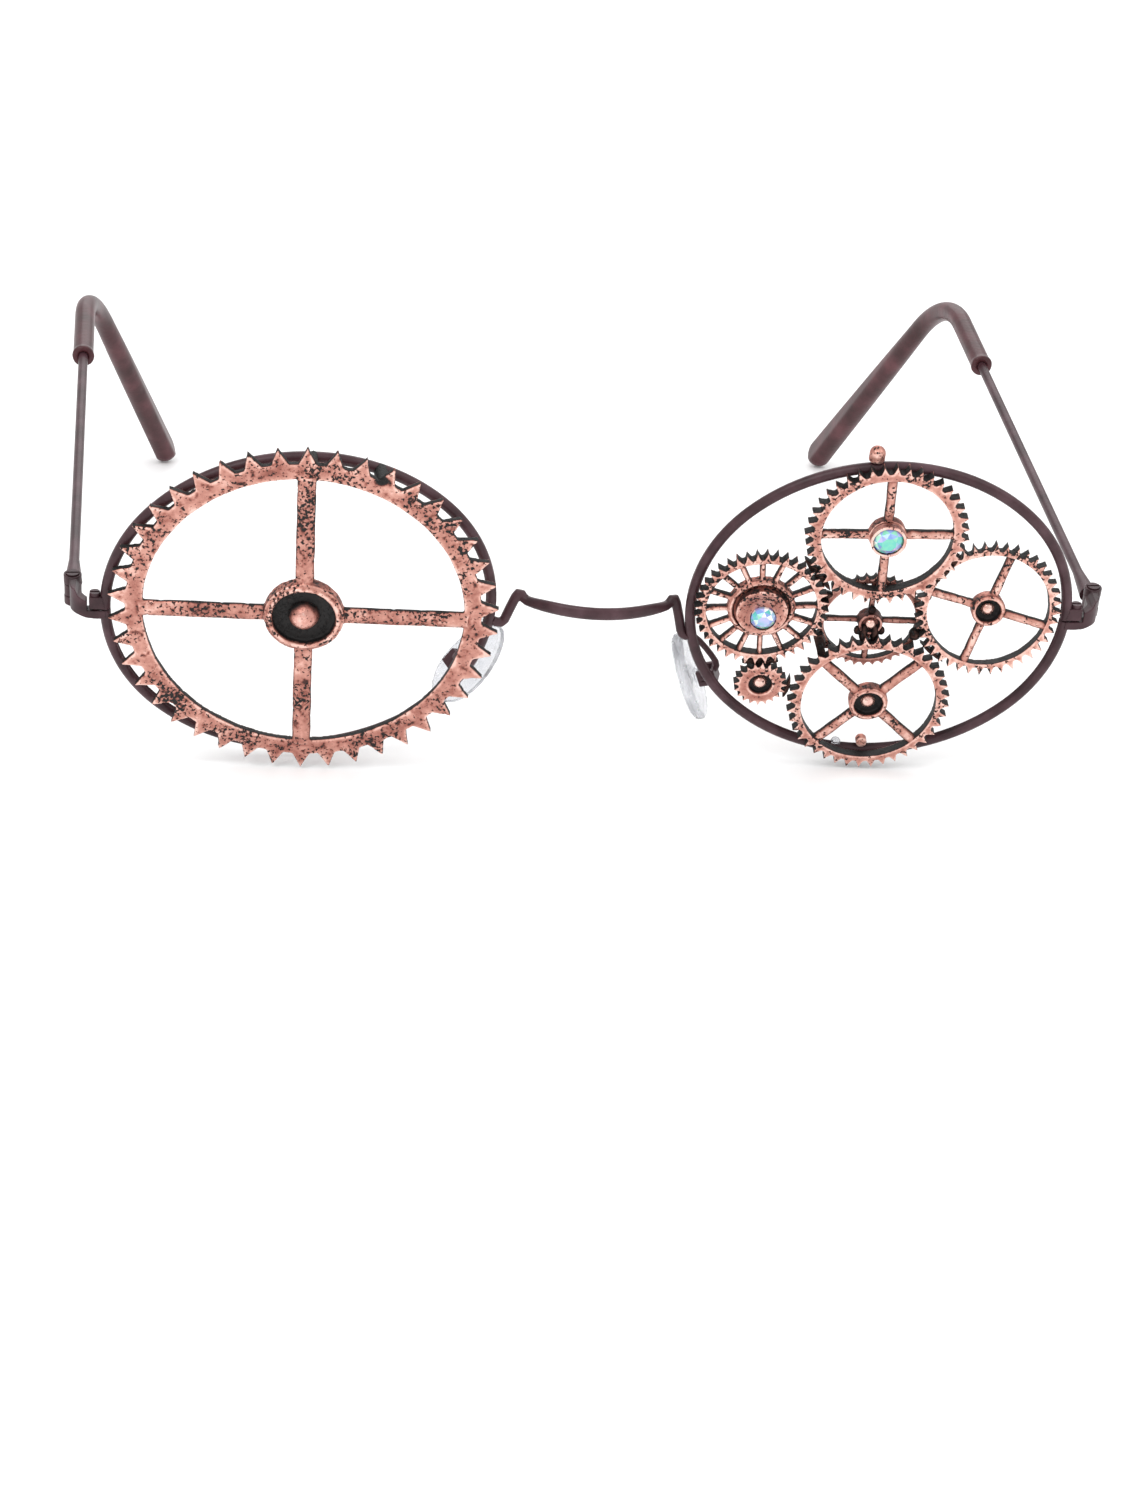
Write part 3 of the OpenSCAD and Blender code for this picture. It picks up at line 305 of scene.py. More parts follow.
def antique_metal(name, black, brown, copper, bright, rubbed_highlight, pitting, gloss):
    """Blackened plating rubbed bright, with a painted highlight on its proud edges. A point
    attribute is 0 in pits and 1 on high places.

    It shows black hollows, brown slopes and pink copper ridges. Its palest colour is partly copper
    rubbed bright and partly a painted highlight. The attribute soil is 1 where the casting is
    dirty.
    """
    made, tree = new_material(name)
    noise_kind, range_kind, maths = ("ShaderNodeTexNoise", "ShaderNodeMapRange",
                                     "ShaderNodeMath")
    place = add(tree, "ShaderNodeTexCoord").outputs["Object"]
    relief, soil = (add(tree, "ShaderNodeAttribute", attribute_name=label).outputs["Fac"]
                    for label in ("relief", "soil"))
    # Pits of 0.4 mm lie in drifts of 7 mm, over blotches of 2 mm. They are drawn a little coarser
    # than the casting's own, to show.
    drifts, fine, blotches = (
        add(tree, noise_kind, {"Vector": place, "Scale": scale, "Detail": detail,
                               "Roughness": rough})
        for scale, detail, rough in ((150, 3, 0.6), (2300, 3, 0.55), (480, 5, 0.65)))
    drift = add(tree, range_kind, {"Value": drifts, "From Min": 0.42, "From Max": 0.68,
                                   "To Max": pitting})
    drift = add(tree, maths, {0: soil, 1: 0.06, 2: drift}, operation="MULTIPLY_ADD")
    above = add(tree, maths, {0: fine, 1: drift}, operation="SUBTRACT")
    pits = add(tree, range_kind, {"Value": above, "From Min": 0.31, "From Max": 0.37})
    blotch = add(tree, range_kind, {"Value": blotches, "From Min": 0.32, "From Max": 0.68,
                                    "To Min": -0.26, "To Max": 0.14})
    blotch = add(tree, maths, {0: soil, 1: -0.13, 2: blotch}, operation="MULTIPLY_ADD")
    level = add(tree, maths, {0: relief, 1: blotch}, operation="ADD")
    level = add(tree, maths, {0: level, 1: add(tree, range_kind, {"Value": pits, "To Min": 0.12})},
                operation="MULTIPLY")
    # The palest stop is partly rubbed copper and partly a painted highlight on proud edges.
    colours = add(tree, "ShaderNodeValToRGB", {"Fac": level}, stops=[
        (0.1, black), (0.3, brown), (0.48, copper), (0.8, bright), (1.0, rubbed_highlight)])
    metallic = add(tree, range_kind, {"Value": level, "From Min": 0.15, "From Max": 0.5,
                                      "To Min": 0.15, "To Max": 0.85})
    rough = add(tree, range_kind, {"Value": level, "From Min": 0.2, "From Max": 0.9,
                                   "To Min": 0.62, "To Max": gloss})
    grain = add(tree, maths, {0: fine, 1: pits}, operation="ADD")
    skin = add(tree, "ShaderNodeBump", {"Height": grain, "Distance": 0.00007})
    metal = add(tree, "ShaderNodeBsdfPrincipled", {
        "Base Color": colours, "Metallic": metallic, "Roughness": rough, "Normal": skin})
    add(tree, "ShaderNodeOutputMaterial", {"Surface": metal})
    return made


# The castings are dull pink copper, and the rivets and the bezel are rubbed smoother and brighter.
# Solder is nearly black, with a faint painted highlight on its proudest edges. The middle gear
# kept most of its black. On every casting, the palest colour is partly a painted highlight.
old_copper = antique_metal("antique copper plate", "#0c0808", "#54302b", "#a56a5e", "#d29b8d",
                           "#f3cabd", 0.16, 0.34)
rubbed_copper = antique_metal("rubbed copper", "#0c0808", "#5a3630", "#a56d62", "#d8a093",
                              "#f6d2c6", 0.02, 0.18)
dark_solder = antique_metal("blackened solder", "#060404", "#0c0808", "#140e0d", "#2a1b18",
                            "#4a322c", 0.1, 0.42)
dark_copper = antique_metal("smoke-black copper", "#0a0707", "#241615", "#5a3530", "#9c6a60",
                            "#c9988c", 0.1, 0.38)


def toothed_wheel_tree():
    """Geometry nodes for a flat toothed wheel: a toothed ring, spokes and a hub with a well."""
    tree = bpy.data.node_groups.new("toothed wheel", "GeometryNodeTree")
    tree.interface.new_socket("Geometry", in_out="OUTPUT", socket_type="NodeSocketGeometry")
    for label, kind in (("Teeth", "Int"), ("Tip radius", "Float"), ("Root radius", "Float"),
                        ("Inner radius", "Float"), ("Thickness", "Float"), ("Turn", "Float"),
                        ("Flank share", "Float"), ("Flank curve", "Float"),
                        ("Spokes", "Int"), ("Spoke width", "Float"), ("Spoke depth", "Float"),
                        ("Spoke turn", "Float"), ("Hub radius", "Float"),
                        ("Hub height", "Float"), ("Well radius", "Float"),
                        ("Well floor", "Float"), ("Lip", "Float"), ("Flare power", "Float"),
                        ("Material", "Material")):
        tree.interface.new_socket(label, in_out="INPUT", socket_type="NodeSocket" + kind)
    given = add(tree, "NodeGroupInput").outputs
    outline_steps, ring_steps, hub_steps, rod_steps, lip_steps = 12, 144, 96, 20, 12
    weld, into_hub, into_ring, under_wall = 0.0005, 0.3, 0.5, 0.2
    waist, flare_gain, rod_points = 0.94, 0.5, 28
    maths, vector, circle = ("ShaderNodeMath", "ShaderNodeCombineXYZ",
                             "GeometryNodeCurvePrimitiveCircle")
    join, transform = "GeometryNodeJoinGeometry", "GeometryNodeTransform"

    def plate(outlines, height):
        """A sheet between flat closed curves, given a thickness towards +Z."""
        sheet = add(tree, "GeometryNodeFillCurve", {"Curve": add(tree, join, {0: outlines})})
        raised = add(tree, "GeometryNodeExtrudeMesh", {"Mesh": sheet, "Offset Scale": height,
                                                       "Individual": False})
        back = add(tree, "GeometryNodeFlipFaces", {"Mesh": sheet})
        both = add(tree, join, {0: [raised, back]})
        return add(tree, "GeometryNodeMergeByDistance", {"Geometry": both, "Distance": weld})

    # The outline has twelve points to a tooth: a point at each tip and a round gap between.
    index = add(tree, "GeometryNodeInputIndex")
    step = add(tree, maths, {0: index, 1: outline_steps}, operation="MODULO")
    after_tip = add(tree, maths, {0: step, 1: outline_steps}, operation="DIVIDE")
    before_tip = add(tree, maths, {0: 1.0, 1: after_tip}, operation="SUBTRACT")
    from_tip = add(tree, maths, {0: after_tip, 1: before_tip}, operation="MINIMUM")
    from_tip = add(tree, maths, {0: from_tip, 1: 2.0}, operation="MULTIPLY")
    flank = add(tree, maths, {0: from_tip, 1: given["Flank share"]}, operation="DIVIDE")
    flank = add(tree, maths, {0: 1.0, 1: flank}, operation="MINIMUM")
    dip = add(tree, maths, {0: flank, 1: given["Flank curve"]}, operation="POWER")
    depth = add(tree, maths, {0: given["Tip radius"], 1: given["Root radius"]},
                operation="SUBTRACT")
    gap = add(tree, maths, {0: depth, 1: dip}, operation="MULTIPLY")
    radius = add(tree, maths, {0: given["Tip radius"], 1: gap}, operation="SUBTRACT")
    points = add(tree, maths, {0: given["Teeth"], 1: outline_steps}, operation="MULTIPLY")
    plain = add(tree, circle, {"Resolution": points, "Radius": 1.0})
    moved = add(tree, "ShaderNodeVectorMath", {0: add(tree, "GeometryNodeInputPosition"),
                                               "Scale": radius}, operation="SCALE")
    toothed = add(tree, "GeometryNodeSetPosition", {"Geometry": plain, "Position": moved})
    toothed = add(tree, transform, {"Geometry": toothed,
                                    "Rotation": add(tree, vector, {"Z": given["Turn"]})})
    bore = add(tree, circle, {"Resolution": ring_steps, "Radius": given["Inner radius"]})
    ring = plate([toothed, bore], given["Thickness"])

    # A spoke is a round rod from the hub to the ring, flattened to its width and depth. Both of
    # its ends flare out where they were cast into the hub and the ring.
    start = add(tree, maths, {0: given["Hub radius"], 1: into_hub}, operation="SUBTRACT")
    end = add(tree, maths, {0: given["Inner radius"], 1: into_ring}, operation="ADD")
    rod = add(tree, "GeometryNodeCurvePrimitiveLine", {
        "Start": add(tree, vector, {"X": start}), "End": add(tree, vector, {"X": end})})
    rod = add(tree, "GeometryNodeResampleCurve", {"Curve": rod, "Count": rod_points})
    share = add(tree, "GeometryNodeSplineParameter").outputs["Factor"]
    to_end = add(tree, maths, {0: share, 1: 2.0, 2: -1.0}, operation="MULTIPLY_ADD")
    to_end = add(tree, maths, {0: to_end}, operation="ABSOLUTE")
    near_end = add(tree, maths, {0: to_end, 1: given["Flare power"]}, operation="POWER")
    flare = add(tree, maths, {0: near_end, 1: flare_gain, 2: waist}, operation="MULTIPLY_ADD")
    rod = add(tree, "GeometryNodeSetCurveRadius", {"Curve": rod, "Radius": flare})
    half_width, half_depth = (add(tree, maths, {0: given[size], 1: 0.5}, operation="MULTIPLY")
                              for size in ("Spoke width", "Spoke depth"))
    section = add(tree, transform, {
        "Geometry": add(tree, circle, {"Resolution": rod_steps, "Radius": 1.0}),
        "Scale": add(tree, vector, {"X": half_width, "Y": half_depth, "Z": 1.0})})
    spoke = add(tree, "GeometryNodeCurveToMesh", {"Curve": rod, "Profile Curve": section,
                                                  "Fill Caps": True})
    spoke = add(tree, transform, {"Geometry": spoke,
                                  "Translation": add(tree, vector, {"Z": half_depth})})
    angle = add(tree, maths, {0: index, 1: math.tau}, operation="MULTIPLY")
    angle = add(tree, maths, {0: angle, 1: given["Spokes"]}, operation="DIVIDE")
    angle = add(tree, maths, {0: given["Spoke turn"], 1: angle}, operation="ADD")
    spokes = add(tree, "GeometryNodeInstanceOnPoints", {
        "Points": add(tree, "GeometryNodePoints", {"Count": given["Spokes"]}),
        "Instance": spoke, "Rotation": add(tree, vector, {"Z": angle})})

    # The hub is a wall with a round lip, about a well that has a floor.
    brim = add(tree, maths, {0: given["Hub height"], 1: given["Lip"]}, operation="SUBTRACT")
    lip_radius = add(tree, maths, {0: given["Well radius"], 1: given["Lip"]}, operation="ADD")
    floor_radius = add(tree, maths, {0: given["Well radius"], 1: under_wall}, operation="ADD")
    outside, inside, lip_line, floor_edge = (
        add(tree, circle, {"Resolution": hub_steps, "Radius": radius})
        for radius in (given["Hub radius"], given["Well radius"], lip_radius, floor_radius))
    wall = plate([outside, inside], brim)
    round_edge = add(tree, circle, {"Resolution": lip_steps, "Radius": given["Lip"]})
    lip = add(tree, "GeometryNodeCurveToMesh", {"Curve": lip_line, "Profile Curve": round_edge})
    lip = add(tree, transform, {"Geometry": lip,
                                "Translation": add(tree, vector, {"Z": brim})})
    floor = plate([floor_edge], given["Well floor"])

    whole = add(tree, join, {0: [ring, spokes, wall, lip, floor]})
    whole = add(tree, "GeometryNodeRealizeInstances", {"Geometry": whole})
    whole = add(tree, "GeometryNodeSetMaterial", {"Geometry": whole,
                                                  "Material": given["Material"]})
    add(tree, "NodeGroupOutput", {0: whole})
    return tree


toothed_wheel = toothed_wheel_tree()


def from_tree(name, tree, material, **sizes):
    """A plain mesh object made by a geometry nodes tree. Sizes are in millimetres."""
    made = bpy.data.objects.new(name, bpy.data.meshes.new(name))
    bpy.context.scene.collection.objects.link(made)
    change = made.modifiers.new("shape", "NODES")
    change.node_group = tree
    for item in tree.interface.items_tree:
        if item.in_out != "INPUT":
            continue
        key = item.name.lower().replace(" ", "_")
        change[item.identifier] = material if item.name == "Material" else sizes[key]
    bpy.context.view_layer.update()
    with_modifiers(made)
    return made


FLANK_SHARE = 0.67


def wheel(name, teeth, tip, root, inner, thick, spokes, spoke_width, spoke_depth, spoke_turn,
          hub, hub_height, well, floor, curve=0.8, lip=0.25):
    """One toothed wheel, as cast, flat with its front to +Z and a tooth straight down."""
    pitch = 360 / teeth
    turn = 270 - round(270 / pitch) * pitch
    return from_tree(name, toothed_wheel, old_copper, teeth=teeth, tip_radius=tip,
                     root_radius=root, inner_radius=inner, thickness=thick,
                     turn=math.radians(turn), flank_share=FLANK_SHARE, flank_curve=curve,
                     spokes=spokes, spoke_width=spoke_width, spoke_depth=spoke_depth,
                     spoke_turn=math.radians(spoke_turn), hub_radius=hub,
                     hub_height=hub_height, well_radius=well, well_floor=floor, lip=lip,
                     flare_power=2 * inner)


# The castings' skin: depths and detail in millimetres, patterns in waves to a millimetre, and
# a level from 0 for black to 1 for rubbed bright, with painted highlights on proud edges.
SKIN_DETAIL, PIT_DEPTH, WAVE_DEPTH, WELL_BRIM = 0.45, 0.09, 0.07, 0.3
PIT_GRAIN, PIT_FROM, PIT_GAIN, PIT_OCTAVES, WAVE_GRAIN = 1.1, 0.25, 2.2, 4, 0.4
FRONT_RELIEF, BACK_RELIEF, HUB_RELIEF, PIT_BLACK = 0.76, 0.6, 0.5, 0.4
# Hollows darken, as patina, and proud edges brighten up to the last bound: partly rubbed metal,
# partly a painted highlight.
PROUD_GAIN, DARKEST_HOLLOW, BRIGHTEST_EDGE_HIGHLIGHT = 5, -0.4, 0.5


def normals_of(mesh):
    """The directions in which the skin faces at the mesh's points."""
    no = np.empty(len(mesh.vertices) * 3, np.float32)
    mesh.vertex_normals.foreach_get("vector", no)
    return no.reshape(-1, 3).astype(float)


def weather(made, voxel, rounds, pits, seed, well=None, soil=(), walls=0.0, place=Matrix()):
    """Fuses a casting, rounds and pits its skin, and marks its high places: as wear, and on proud
    edges also as a painted highlight.

    The well is (radius, hub radius) about the middle of the drawing that place puts on the
    part: paint stays in it. Soil is (x, y, radius, depth): dirty places, where depth is a dent.
    """
    fuse(made, voxel)
    mesh = made.data
    co = relaxed(mesh, points_of(mesh), rounds)
    set_points(mesh, co)
    normal = normals_of(mesh)
    # How far each point stands out of the shape around it.
    reach = max(4, int((SKIN_DETAIL / voxel) ** 2))
    proud = ((co - relaxed(mesh, co, reach)) * normal).sum(1)
    back = np.array(place.inverted())
    flat = co @ back[:3, :3].T + back[:3, 3]
    facing = normal @ back[2, :3]
    rough = np.array([noise.fractal(Vector(p) * PIT_GRAIN + Vector((seed, 0, 0)), 1.0, 2.0,
                                    PIT_OCTAVES) for p in co])
    wave = np.array([noise.noise(Vector(p) * WAVE_GRAIN + Vector((0, seed, 0))) for p in co])
    pit = pits * np.clip((rough - PIT_FROM) * PIT_GAIN, 0, 1)
    # The front is rubbed bright and the back a little less. Paint stays on the walls, and a
    # point that stands proud is brighter than a hollow: partly metal rubbed bright, partly a
    # painted highlight along the edges.
    level = np.where(facing > 0, FRONT_RELIEF, BACK_RELIEF) - walls
    face = np.clip((np.abs(facing) - 0.2) / 0.6, 0, 1)
    edge = np.clip(proud * PROUD_GAIN, DARKEST_HOLLOW, BRIGHTEST_EDGE_HIGHLIGHT)
    relief = walls + level * face + edge - pit * PIT_BLACK
    dirt, dent = np.zeros(len(co)), pit * PIT_DEPTH
    for x, y, radius, depth in soil:
        near = np.exp(-((flat[:, 0] - x) ** 2 + (flat[:, 1] - y) ** 2) / radius ** 2)
        dirt = np.maximum(dirt, near)
        dent += depth * near ** 2
        # The middle of a dent is black.
        if depth:
            relief *= 1 - np.clip(2.5 * near - 0.7, 0, 1)
    if well:
        radius, hub = well
        out = np.hypot(flat[:, 0], flat[:, 1])
        floor = flat[out < radius, 2].max() - WELL_BRIM
        on_hub = (out >= radius) & (out < hub)
        relief[on_hub] = np.maximum(relief[on_hub], HUB_RELIEF)
        relief[(out < radius) & (flat[:, 2] < floor)] = 0
    set_points(mesh, co - normal * (dent - WAVE_DEPTH * wave)[:, None])
    for label, value in (("relief", relief), ("soil", dirt)):
        mark = mesh.attributes.new(label, "FLOAT", "POINT")
        mark.data.foreach_set("value", np.clip(value, 0, 1).astype(np.float32))


def cast_piece(made, place, material, node):
    """Puts a finished casting in its place on the front."""
    made.data.transform(Matrix.Scale(0.001, 4) @ place)
    finish_piece(made, "front", material, node)


ring = wheel("ring_sprocket_casting", teeth=42, tip=25.9, root=23.5, inner=21.2, thick=1.0,
             spokes=4, spoke_width=2.5, spoke_depth=1.4, spoke_turn=0, hub=RING_HUB,
             hub_height=2.1, well=RING_WELL, floor=0.9, curve=0.9, lip=0.35)
weather(ring, voxel=0.15, rounds=2, pits=1.0, seed=3.0, well=(RING_WELL, RING_HUB + HUB_LAND),
        soil=RING_SOIL)
cast_piece(ring, on_eye(LEFT, RING_AT, RING_BACK) @ turned(RING_TURN, "Y"), old_copper,
           "ring_sprocket")


def weathered_copy(name, node, side, material, voxel, rounds, pits, seed, walls=0.0):
    """A casting or a solder joint with the CAD node's own shape."""
    made = node_copy(name, node)
    weather(made, voxel, rounds, pits, seed, walls=walls, place=on_eye(side, (0, 0), 0))
    in_metres(made)
    finish_piece(made, "front", material, node)


weathered_copy("ring_stud", "ring_rivet", LEFT, rubbed_copper,
               voxel=0.08, rounds=2, pits=0.1, seed=11.0)
weathered_copy("ring_solder", "ring_mount", LEFT, dark_solder,
               voxel=0.08, rounds=2, pits=0.5, seed=13.0)

# Gear cluster: six small gears, cast in white metal and soldered edge to edge, then copper
# plated and blackened together. They don't turn. Black fills the gaps where the teeth meet, and
# pegs and glue hold the cluster on the right eye wire.
GEAR_BACK, GEAR_THICK, GEAR_TEETH, TOOTH_HEIGHT = 0.8, 1.6, 40, 1.17
TOP_AT, PINION_AT, MIDDLE_AT, MIDDLE_BACK = (-0.8, 13.9), (-15.2, -11.2), (-1.1, -1.1), -0.4
# Each gear's place on the eye wire, its lean in degrees, and its sizes.
GEARS = {
    "top_gear": (TOP_AT, 0, dict(
        tip=11.02, inner=8.8, spokes=4, spoke_width=1.35, spoke_depth=1.4, spoke_turn=2,
        hub=2.5, hub_height=1.65, well=0.9, floor=1.6)),
    "outer_gear": ((14.4, 2.45), 8, dict(
        tip=10.02, inner=8.3, spokes=4, spoke_width=1.25, spoke_depth=1.4, spoke_turn=-16,
        hub=2.3, hub_height=1.9, well=1.7, floor=0.8)),
    "bottom_gear": ((0.1, -13.9), 0, dict(
        tip=11.32, inner=9.35, spokes=4, spoke_width=1.5, spoke_depth=1.4, spoke_turn=47,
        hub=2.7, hub_height=1.9, well=2.0, floor=0.8)),
    "spoked_wheel": ((-16.3, 1.4), 0, dict(
        tip=9.22, inner=7.5, spokes=16, spoke_width=0.8, spoke_depth=1.3, spoke_turn=4,
        hub=4.6, hub_height=1.55, well=3.9, floor=1.0)),
}
for count, (name, (at, tilt, sizes)) in enumerate(GEARS.items()):
    gear = wheel(name + "_casting", teeth=GEAR_TEETH, root=sizes["tip"] - TOOTH_HEIGHT,
                 thick=GEAR_THICK, **sizes)
    weather(gear, voxel=0.11, rounds=2, pits=0.45, seed=20.0 + count * 7,
            well=(sizes["well"], sizes["hub"] + HUB_LAND))
    core = Matrix.Translation((0, 0, GEAR_THICK / 2))
    leaning = core @ turned(-tilt, "X") @ core.inverted()
    cast_piece(gear, on_eye(RIGHT, at, GEAR_BACK) @ leaning, old_copper, name)

pinion = wheel("pinion_gear_casting", teeth=20, tip=3.65, root=2.95, inner=1.8,
               thick=GEAR_THICK, spokes=0, spoke_width=1.0, spoke_depth=1.0, spoke_turn=0,
               hub=2.1, hub_height=1.65, well=1.6, floor=0.8)
weather(pinion, voxel=0.07, rounds=2, pits=0.4, seed=60.0, well=(1.6, 2.0))
cast_piece(pinion, on_eye(RIGHT, PINION_AT, GEAR_BACK), old_copper, "pinion_gear")

weathered_copy("wheel_dish_casting", "wheel_dish", RIGHT, old_copper,
               voxel=0.09, rounds=1, pits=0.6, seed=78.0, walls=0.4)
weathered_copy("cluster_pegs_casting", "cluster_pegs", RIGHT, old_copper,
               voxel=0.09, rounds=1, pits=0.4, seed=87.0, walls=0.45)
for count, node in enumerate(("gear_rivets", "stone_bezel")):
    weathered_copy(node + "_casting", node, RIGHT, rubbed_copper,
                   voxel=0.07, rounds=2, pits=0.1, seed=110.0 + count * 9, walls=0.45)

# The middle gear lies behind the others. Its rim is thin, and the paint on it was left black.
middle = wheel("middle_gear_casting", teeth=36, tip=7.6, root=6.95, inner=6.3, thick=1.1,
               spokes=4, spoke_width=0.9, spoke_depth=1.0, spoke_turn=0, hub=1.7,
               hub_height=1.95, well=1.2, floor=1.4)
weather(middle, voxel=0.09, rounds=2, pits=0.4, seed=69.0, well=(1.2, 1.8))
cast_piece(middle, on_eye(RIGHT, MIDDLE_AT, MIDDLE_BACK), dark_copper, "middle_gear")

joints = node_copy("cluster_joints", "cluster_solder")
lumps = bmesh.new()
lumps.from_mesh(joints.data)
# Solder that ran between the gears: place and depth on the eye wire, and half sizes.
for x, y, depth, half_x, half_y, half_z in (
        (-1.85, -2.7, 1.15, 0.62, 1.45, 0.7), (-0.35, -2.7, 1.15, 0.62, 1.45, 0.7),
        (-2.7, -2.4, 0.9, 0.5, 0.7, 0.5), (0.6, -2.4, 0.9, 0.5, 0.7, 0.5),
        (5.2, -2.6, 1.1, 0.9, 1.0, 0.8), (6.0, -1.2, 1.0, 0.5, 0.8, 0.7),
        (-7.4, -4.4, 1.1, 0.55, 1.2, 0.8), (-7.6, 3.4, 1.0, 0.9, 0.6, 0.7),
        (5.9, 3.6, 1.0, 0.8, 0.6, 0.7), (-1.1, 1.0, 0.9, 0.6, 0.7, 0.5)):
    shape = on_eye(RIGHT, (x, y), depth) @ Matrix.Diagonal((half_x, half_y, half_z, 1))
    bmesh.ops.create_icosphere(lumps, subdivisions=3, radius=1, matrix=shape)
lumps.to_mesh(joints.data)
lumps.free()
weather(joints, voxel=0.09, rounds=3, pits=0.6, seed=130.0, place=on_eye(RIGHT, (0, 0), 0))
in_metres(joints)
finish_piece(joints, "front", dark_solder, "cluster_solder")

# Cut stones: round cut-glass stones with a thin metal-oxide coat. Each facet gets its own painted
# colour, from blue, green and lilac to white: partly the coat's colours, partly painted
# reflections, and the white facets are painted glints. One is set in the top gear's bezel, the
# other low in the wheel's dish.


def coated_glass():
    """Cut glass on foil, with an iridescent coat. Each facet has its own tint attribute, which
    sets a painted colour: the coat's tints, painted reflections and, at the white end, painted
    glints.
    """
    made, tree = new_material("cut glass with painted glints")
    tint = add(tree, "ShaderNodeAttribute", attribute_name="tint").outputs["Fac"]
    place = add(tree, "ShaderNodeTexCoord").outputs["Object"]
    # The painted colour of coat and reflections drifts over about a millimetre inside a facet.
    cloud = add(tree, "ShaderNodeTexNoise", {"Vector": place, "Scale": 900, "Detail": 2})
    shift = add(tree, "ShaderNodeMath", {0: cloud, 1: 0.25, 2: tint}, operation="MULTIPLY_ADD")
    # The white end of the ramp is a painted glint.
    colours = add(tree, "ShaderNodeValToRGB", {"Fac": shift}, stops=[
        (0.08, "#86a6e6"), (0.22, "#c4bdf0"), (0.34, "#4fbfc0"), (0.5, "#7fd8b6"),
        (0.68, "#c3eedb"), (0.88, "#ffffff")])
    glass = add(tree, "ShaderNodeBsdfPrincipled", {
        "Base Color": colours, "Metallic": 0.2, "Roughness": 0.08, "IOR": 1.6,
        "Coat Weight": 0.6, "Coat Roughness": 0.03})
    add(tree, "ShaderNodeOutputMaterial", {"Surface": glass})
    return made


stone_glass = coated_glass()


def cut_stone(name, node, place, diameter, glint_bias):
    """A round stone: girdle, sixteen break facets, eight main facets and an eight-sided table."""
    mesh = bpy.data.meshes.new(name)
    work = bmesh.new()
    sides, mains, tint_and_glint_spread = 16, 8, 0.7
    r, girdle, crown = diameter / 2, 0.12 * diameter, 0.22 * diameter

    def ring_of(radius, height, count, turn):
        return [work.verts.new((radius * math.cos(math.tau * (k + turn) / count),
                                radius * math.sin(math.tau * (k + turn) / count), height))
                for k in range(count)]

    low, edge = ring_of(r, 0, sides, 0), ring_of(r, girdle, sides, 0)
    middle = ring_of(0.78 * r, girdle + 0.5 * crown, mains, 0)
    table = ring_of(0.5 * r, girdle + crown, mains, 0.5)
    work.faces.new(low[::-1])
    work.faces.new(table)
    for k in range(sides):
        n = (k + 1) % sides
        work.faces.new([low[k], low[n], edge[n], edge[k]])
    for k in range(mains):
        a, b, n = middle[k], middle[(k + 1) % mains], (2 * k + 2) % sides
        work.faces.new([edge[2 * k], edge[2 * k + 1], a])
        work.faces.new([edge[2 * k + 1], edge[n], b])
        work.faces.new([a, edge[2 * k + 1], b])
        work.faces.new([a, b, table[k]])
        work.faces.new([table[k - 1], a, table[k]])
    bmesh.ops.recalc_face_normals(work, faces=work.faces)
    work.to_mesh(mesh)
    work.free()
    made = bpy.data.objects.new(name, mesh)
    bpy.context.scene.collection.objects.link(made)
    # Each facet gets a random painted tint: coat colours, painted reflections and white painted
    # glints.
    mark = mesh.attributes.new("tint", "FLOAT", "FACE")
    mark.data.foreach_set("value", [
        glint_bias + tint_and_glint_spread * noise.cell(Vector((i * 3.7, diameter, 1.0)))
        for i in range(len(mesh.polygons))])
    made.data.transform(Matrix.Scale(0.001, 4) @ place)
    finish_piece(made, "front", stone_glass, node)


STONE_SEAT = GEAR_BACK + GEAR_THICK + 0.34
DISH_SEAT = GEAR_BACK + 1.0 + 0.49
cut_stone("top_crystal", "top_stone", on_eye(RIGHT, TOP_AT, STONE_SEAT), diameter=4.0,
          glint_bias=0.08)
cut_stone("wheel_crystal", "wheel_stone", on_eye(RIGHT, (-16.0, 0.2), DISH_SEAT), diameter=3.4,
          glint_bias=0.3)

# Glue: clear beads, set where the cluster rests on the eye wire. They were put on by hand after
# plating, so they differ in size, and they look like the clear plastic of the pads.
glue_skin = pad_plastic.copy()
glue_skin.name = "set clear glue"
glue_drops = node_copy("glue_drops", "glue_beads")
fuse(glue_drops, voxel=0.1)
drops = relaxed(glue_drops.data, points_of(glue_drops.data), rounds=4)
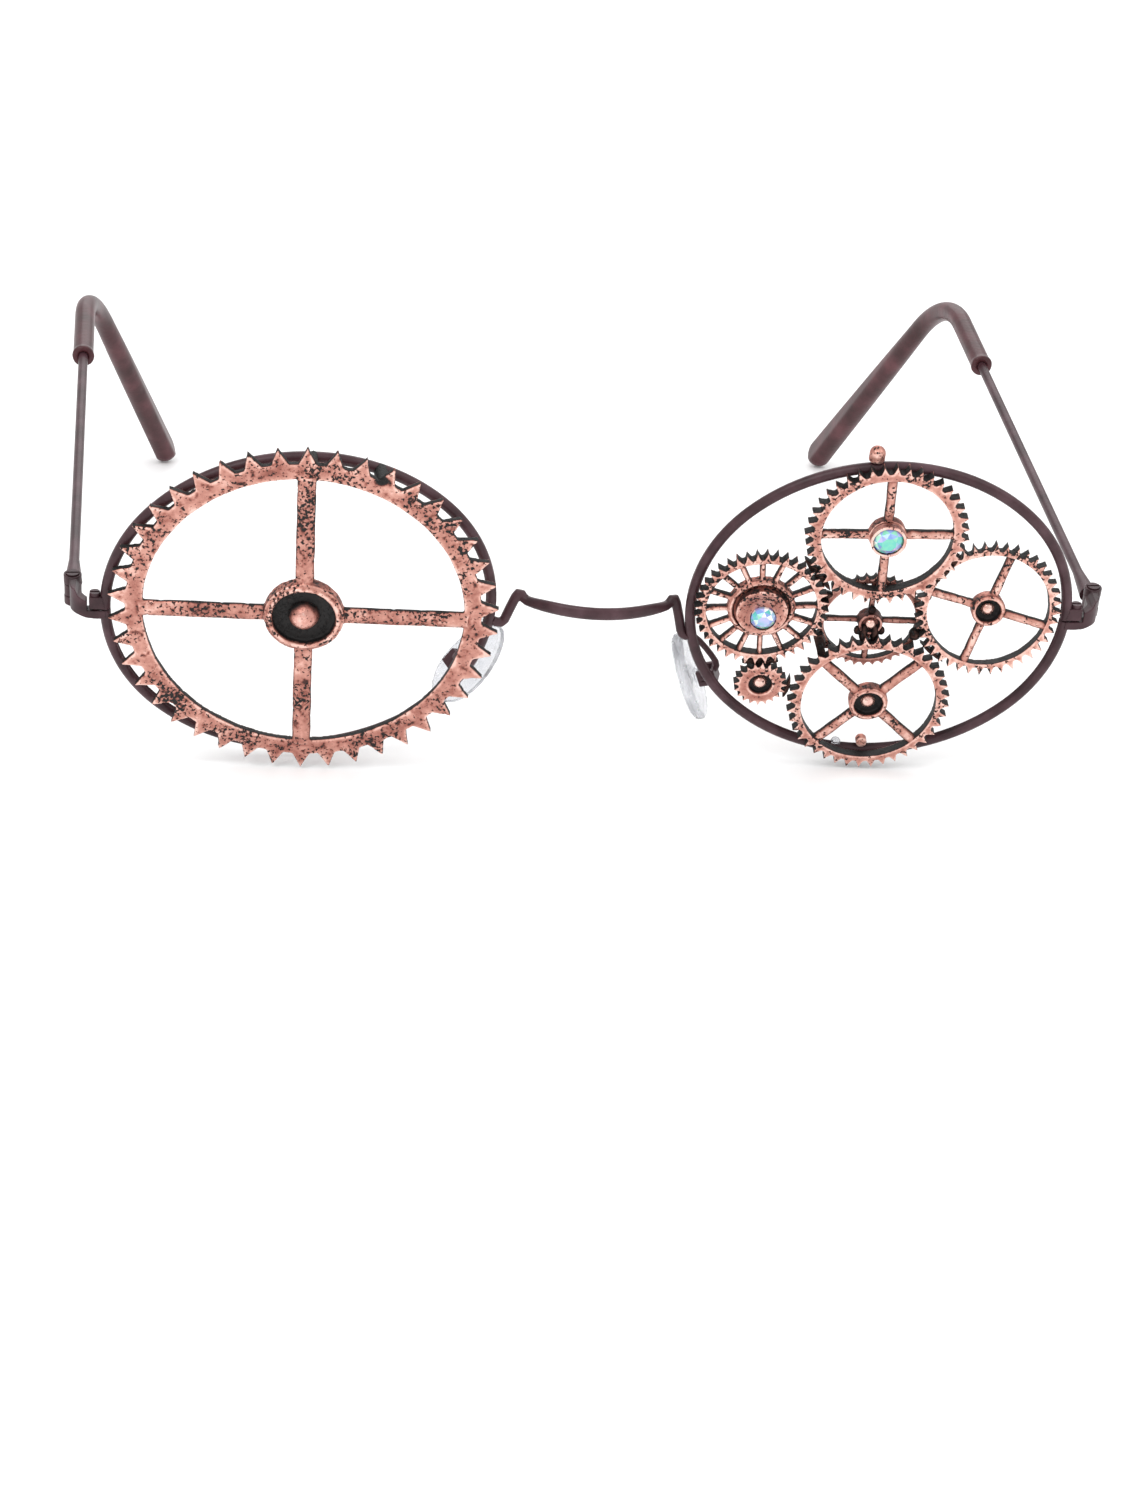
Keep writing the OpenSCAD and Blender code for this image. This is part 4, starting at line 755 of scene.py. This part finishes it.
# The lower bead has sagged onto the wire, so it is flatter than the upper ones.
on_wire, flatness = np.array(eye_frame(RIGHT) @ Vector((-3.2, 0.2, -23.1))), 0.66
low = drops[:, 2] < LIFT
drops[low] = on_wire + (drops[low] - on_wire) * flatness
set_points(glue_drops.data, drops)
in_metres(glue_drops)
finish_piece(glue_drops, "front", glue_skin, "glue_beads")

# Table and lights: a plain white table, and large soft lights all round, as for a catalogue.
# White paper is matt, with a grain of about a centimetre that hardly shows.
floor_mesh = bpy.data.meshes.new("table_top")
half_side, below = 6, 0.0002
floor_mesh.from_pydata([(-half_side, -half_side, 0), (half_side, -half_side, 0),
                        (half_side, half_side, 0), (-half_side, half_side, 0)], [],
                       [(0, 1, 2, 3)])
table_top = bpy.data.objects.new("table_top", floor_mesh)
table_top.location.z = -below
bpy.context.scene.collection.objects.link(table_top)
white_paper, paper_tree = new_material("white paper")
grain = add(paper_tree, "ShaderNodeTexNoise", {
    "Vector": add(paper_tree, "ShaderNodeTexCoord").outputs["Object"], "Scale": 90})
tone = add(paper_tree, "ShaderNodeValToRGB", {"Fac": grain},
           stops=[(0.3, "#f8f8f8"), (0.7, "#fbfbfb")])
paper = add(paper_tree, "ShaderNodeBsdfPrincipled", {"Base Color": tone, "Roughness": 0.9})
add(paper_tree, "ShaderNodeOutputMaterial", {"Surface": paper})
floor_mesh.materials.append(white_paper)

world = bpy.data.worlds.new("studio")
world.use_nodes = True
sky = world.node_tree.nodes["Background"]
sky.inputs["Color"].default_value = linear("#ffffff")
sky.inputs["Strength"].default_value = 0.92
bpy.context.scene.world = world


def soft_light(name, place, size, watts):
    """A square area light that faces the middle of the part."""
    data = bpy.data.lights.new(name, "AREA")
    data.size, data.energy = size, watts
    made = bpy.data.objects.new(name, data)
    made.location = place
    aim = Vector((0, 0, 0.02)) - Vector(place)
    made.rotation_euler = aim.to_track_quat("-Z", "Y").to_euler()
    bpy.context.scene.collection.objects.link(made)


soft_light("key", (-0.5, -0.6, 0.9), size=0.7, watts=5)
soft_light("fill", (0.7, -0.3, 0.8), size=0.8, watts=2.5)
soft_light("back", (0.1, 0.9, 0.7), size=0.8, watts=3)
bpy.context.scene.view_settings.view_transform = "Standard"
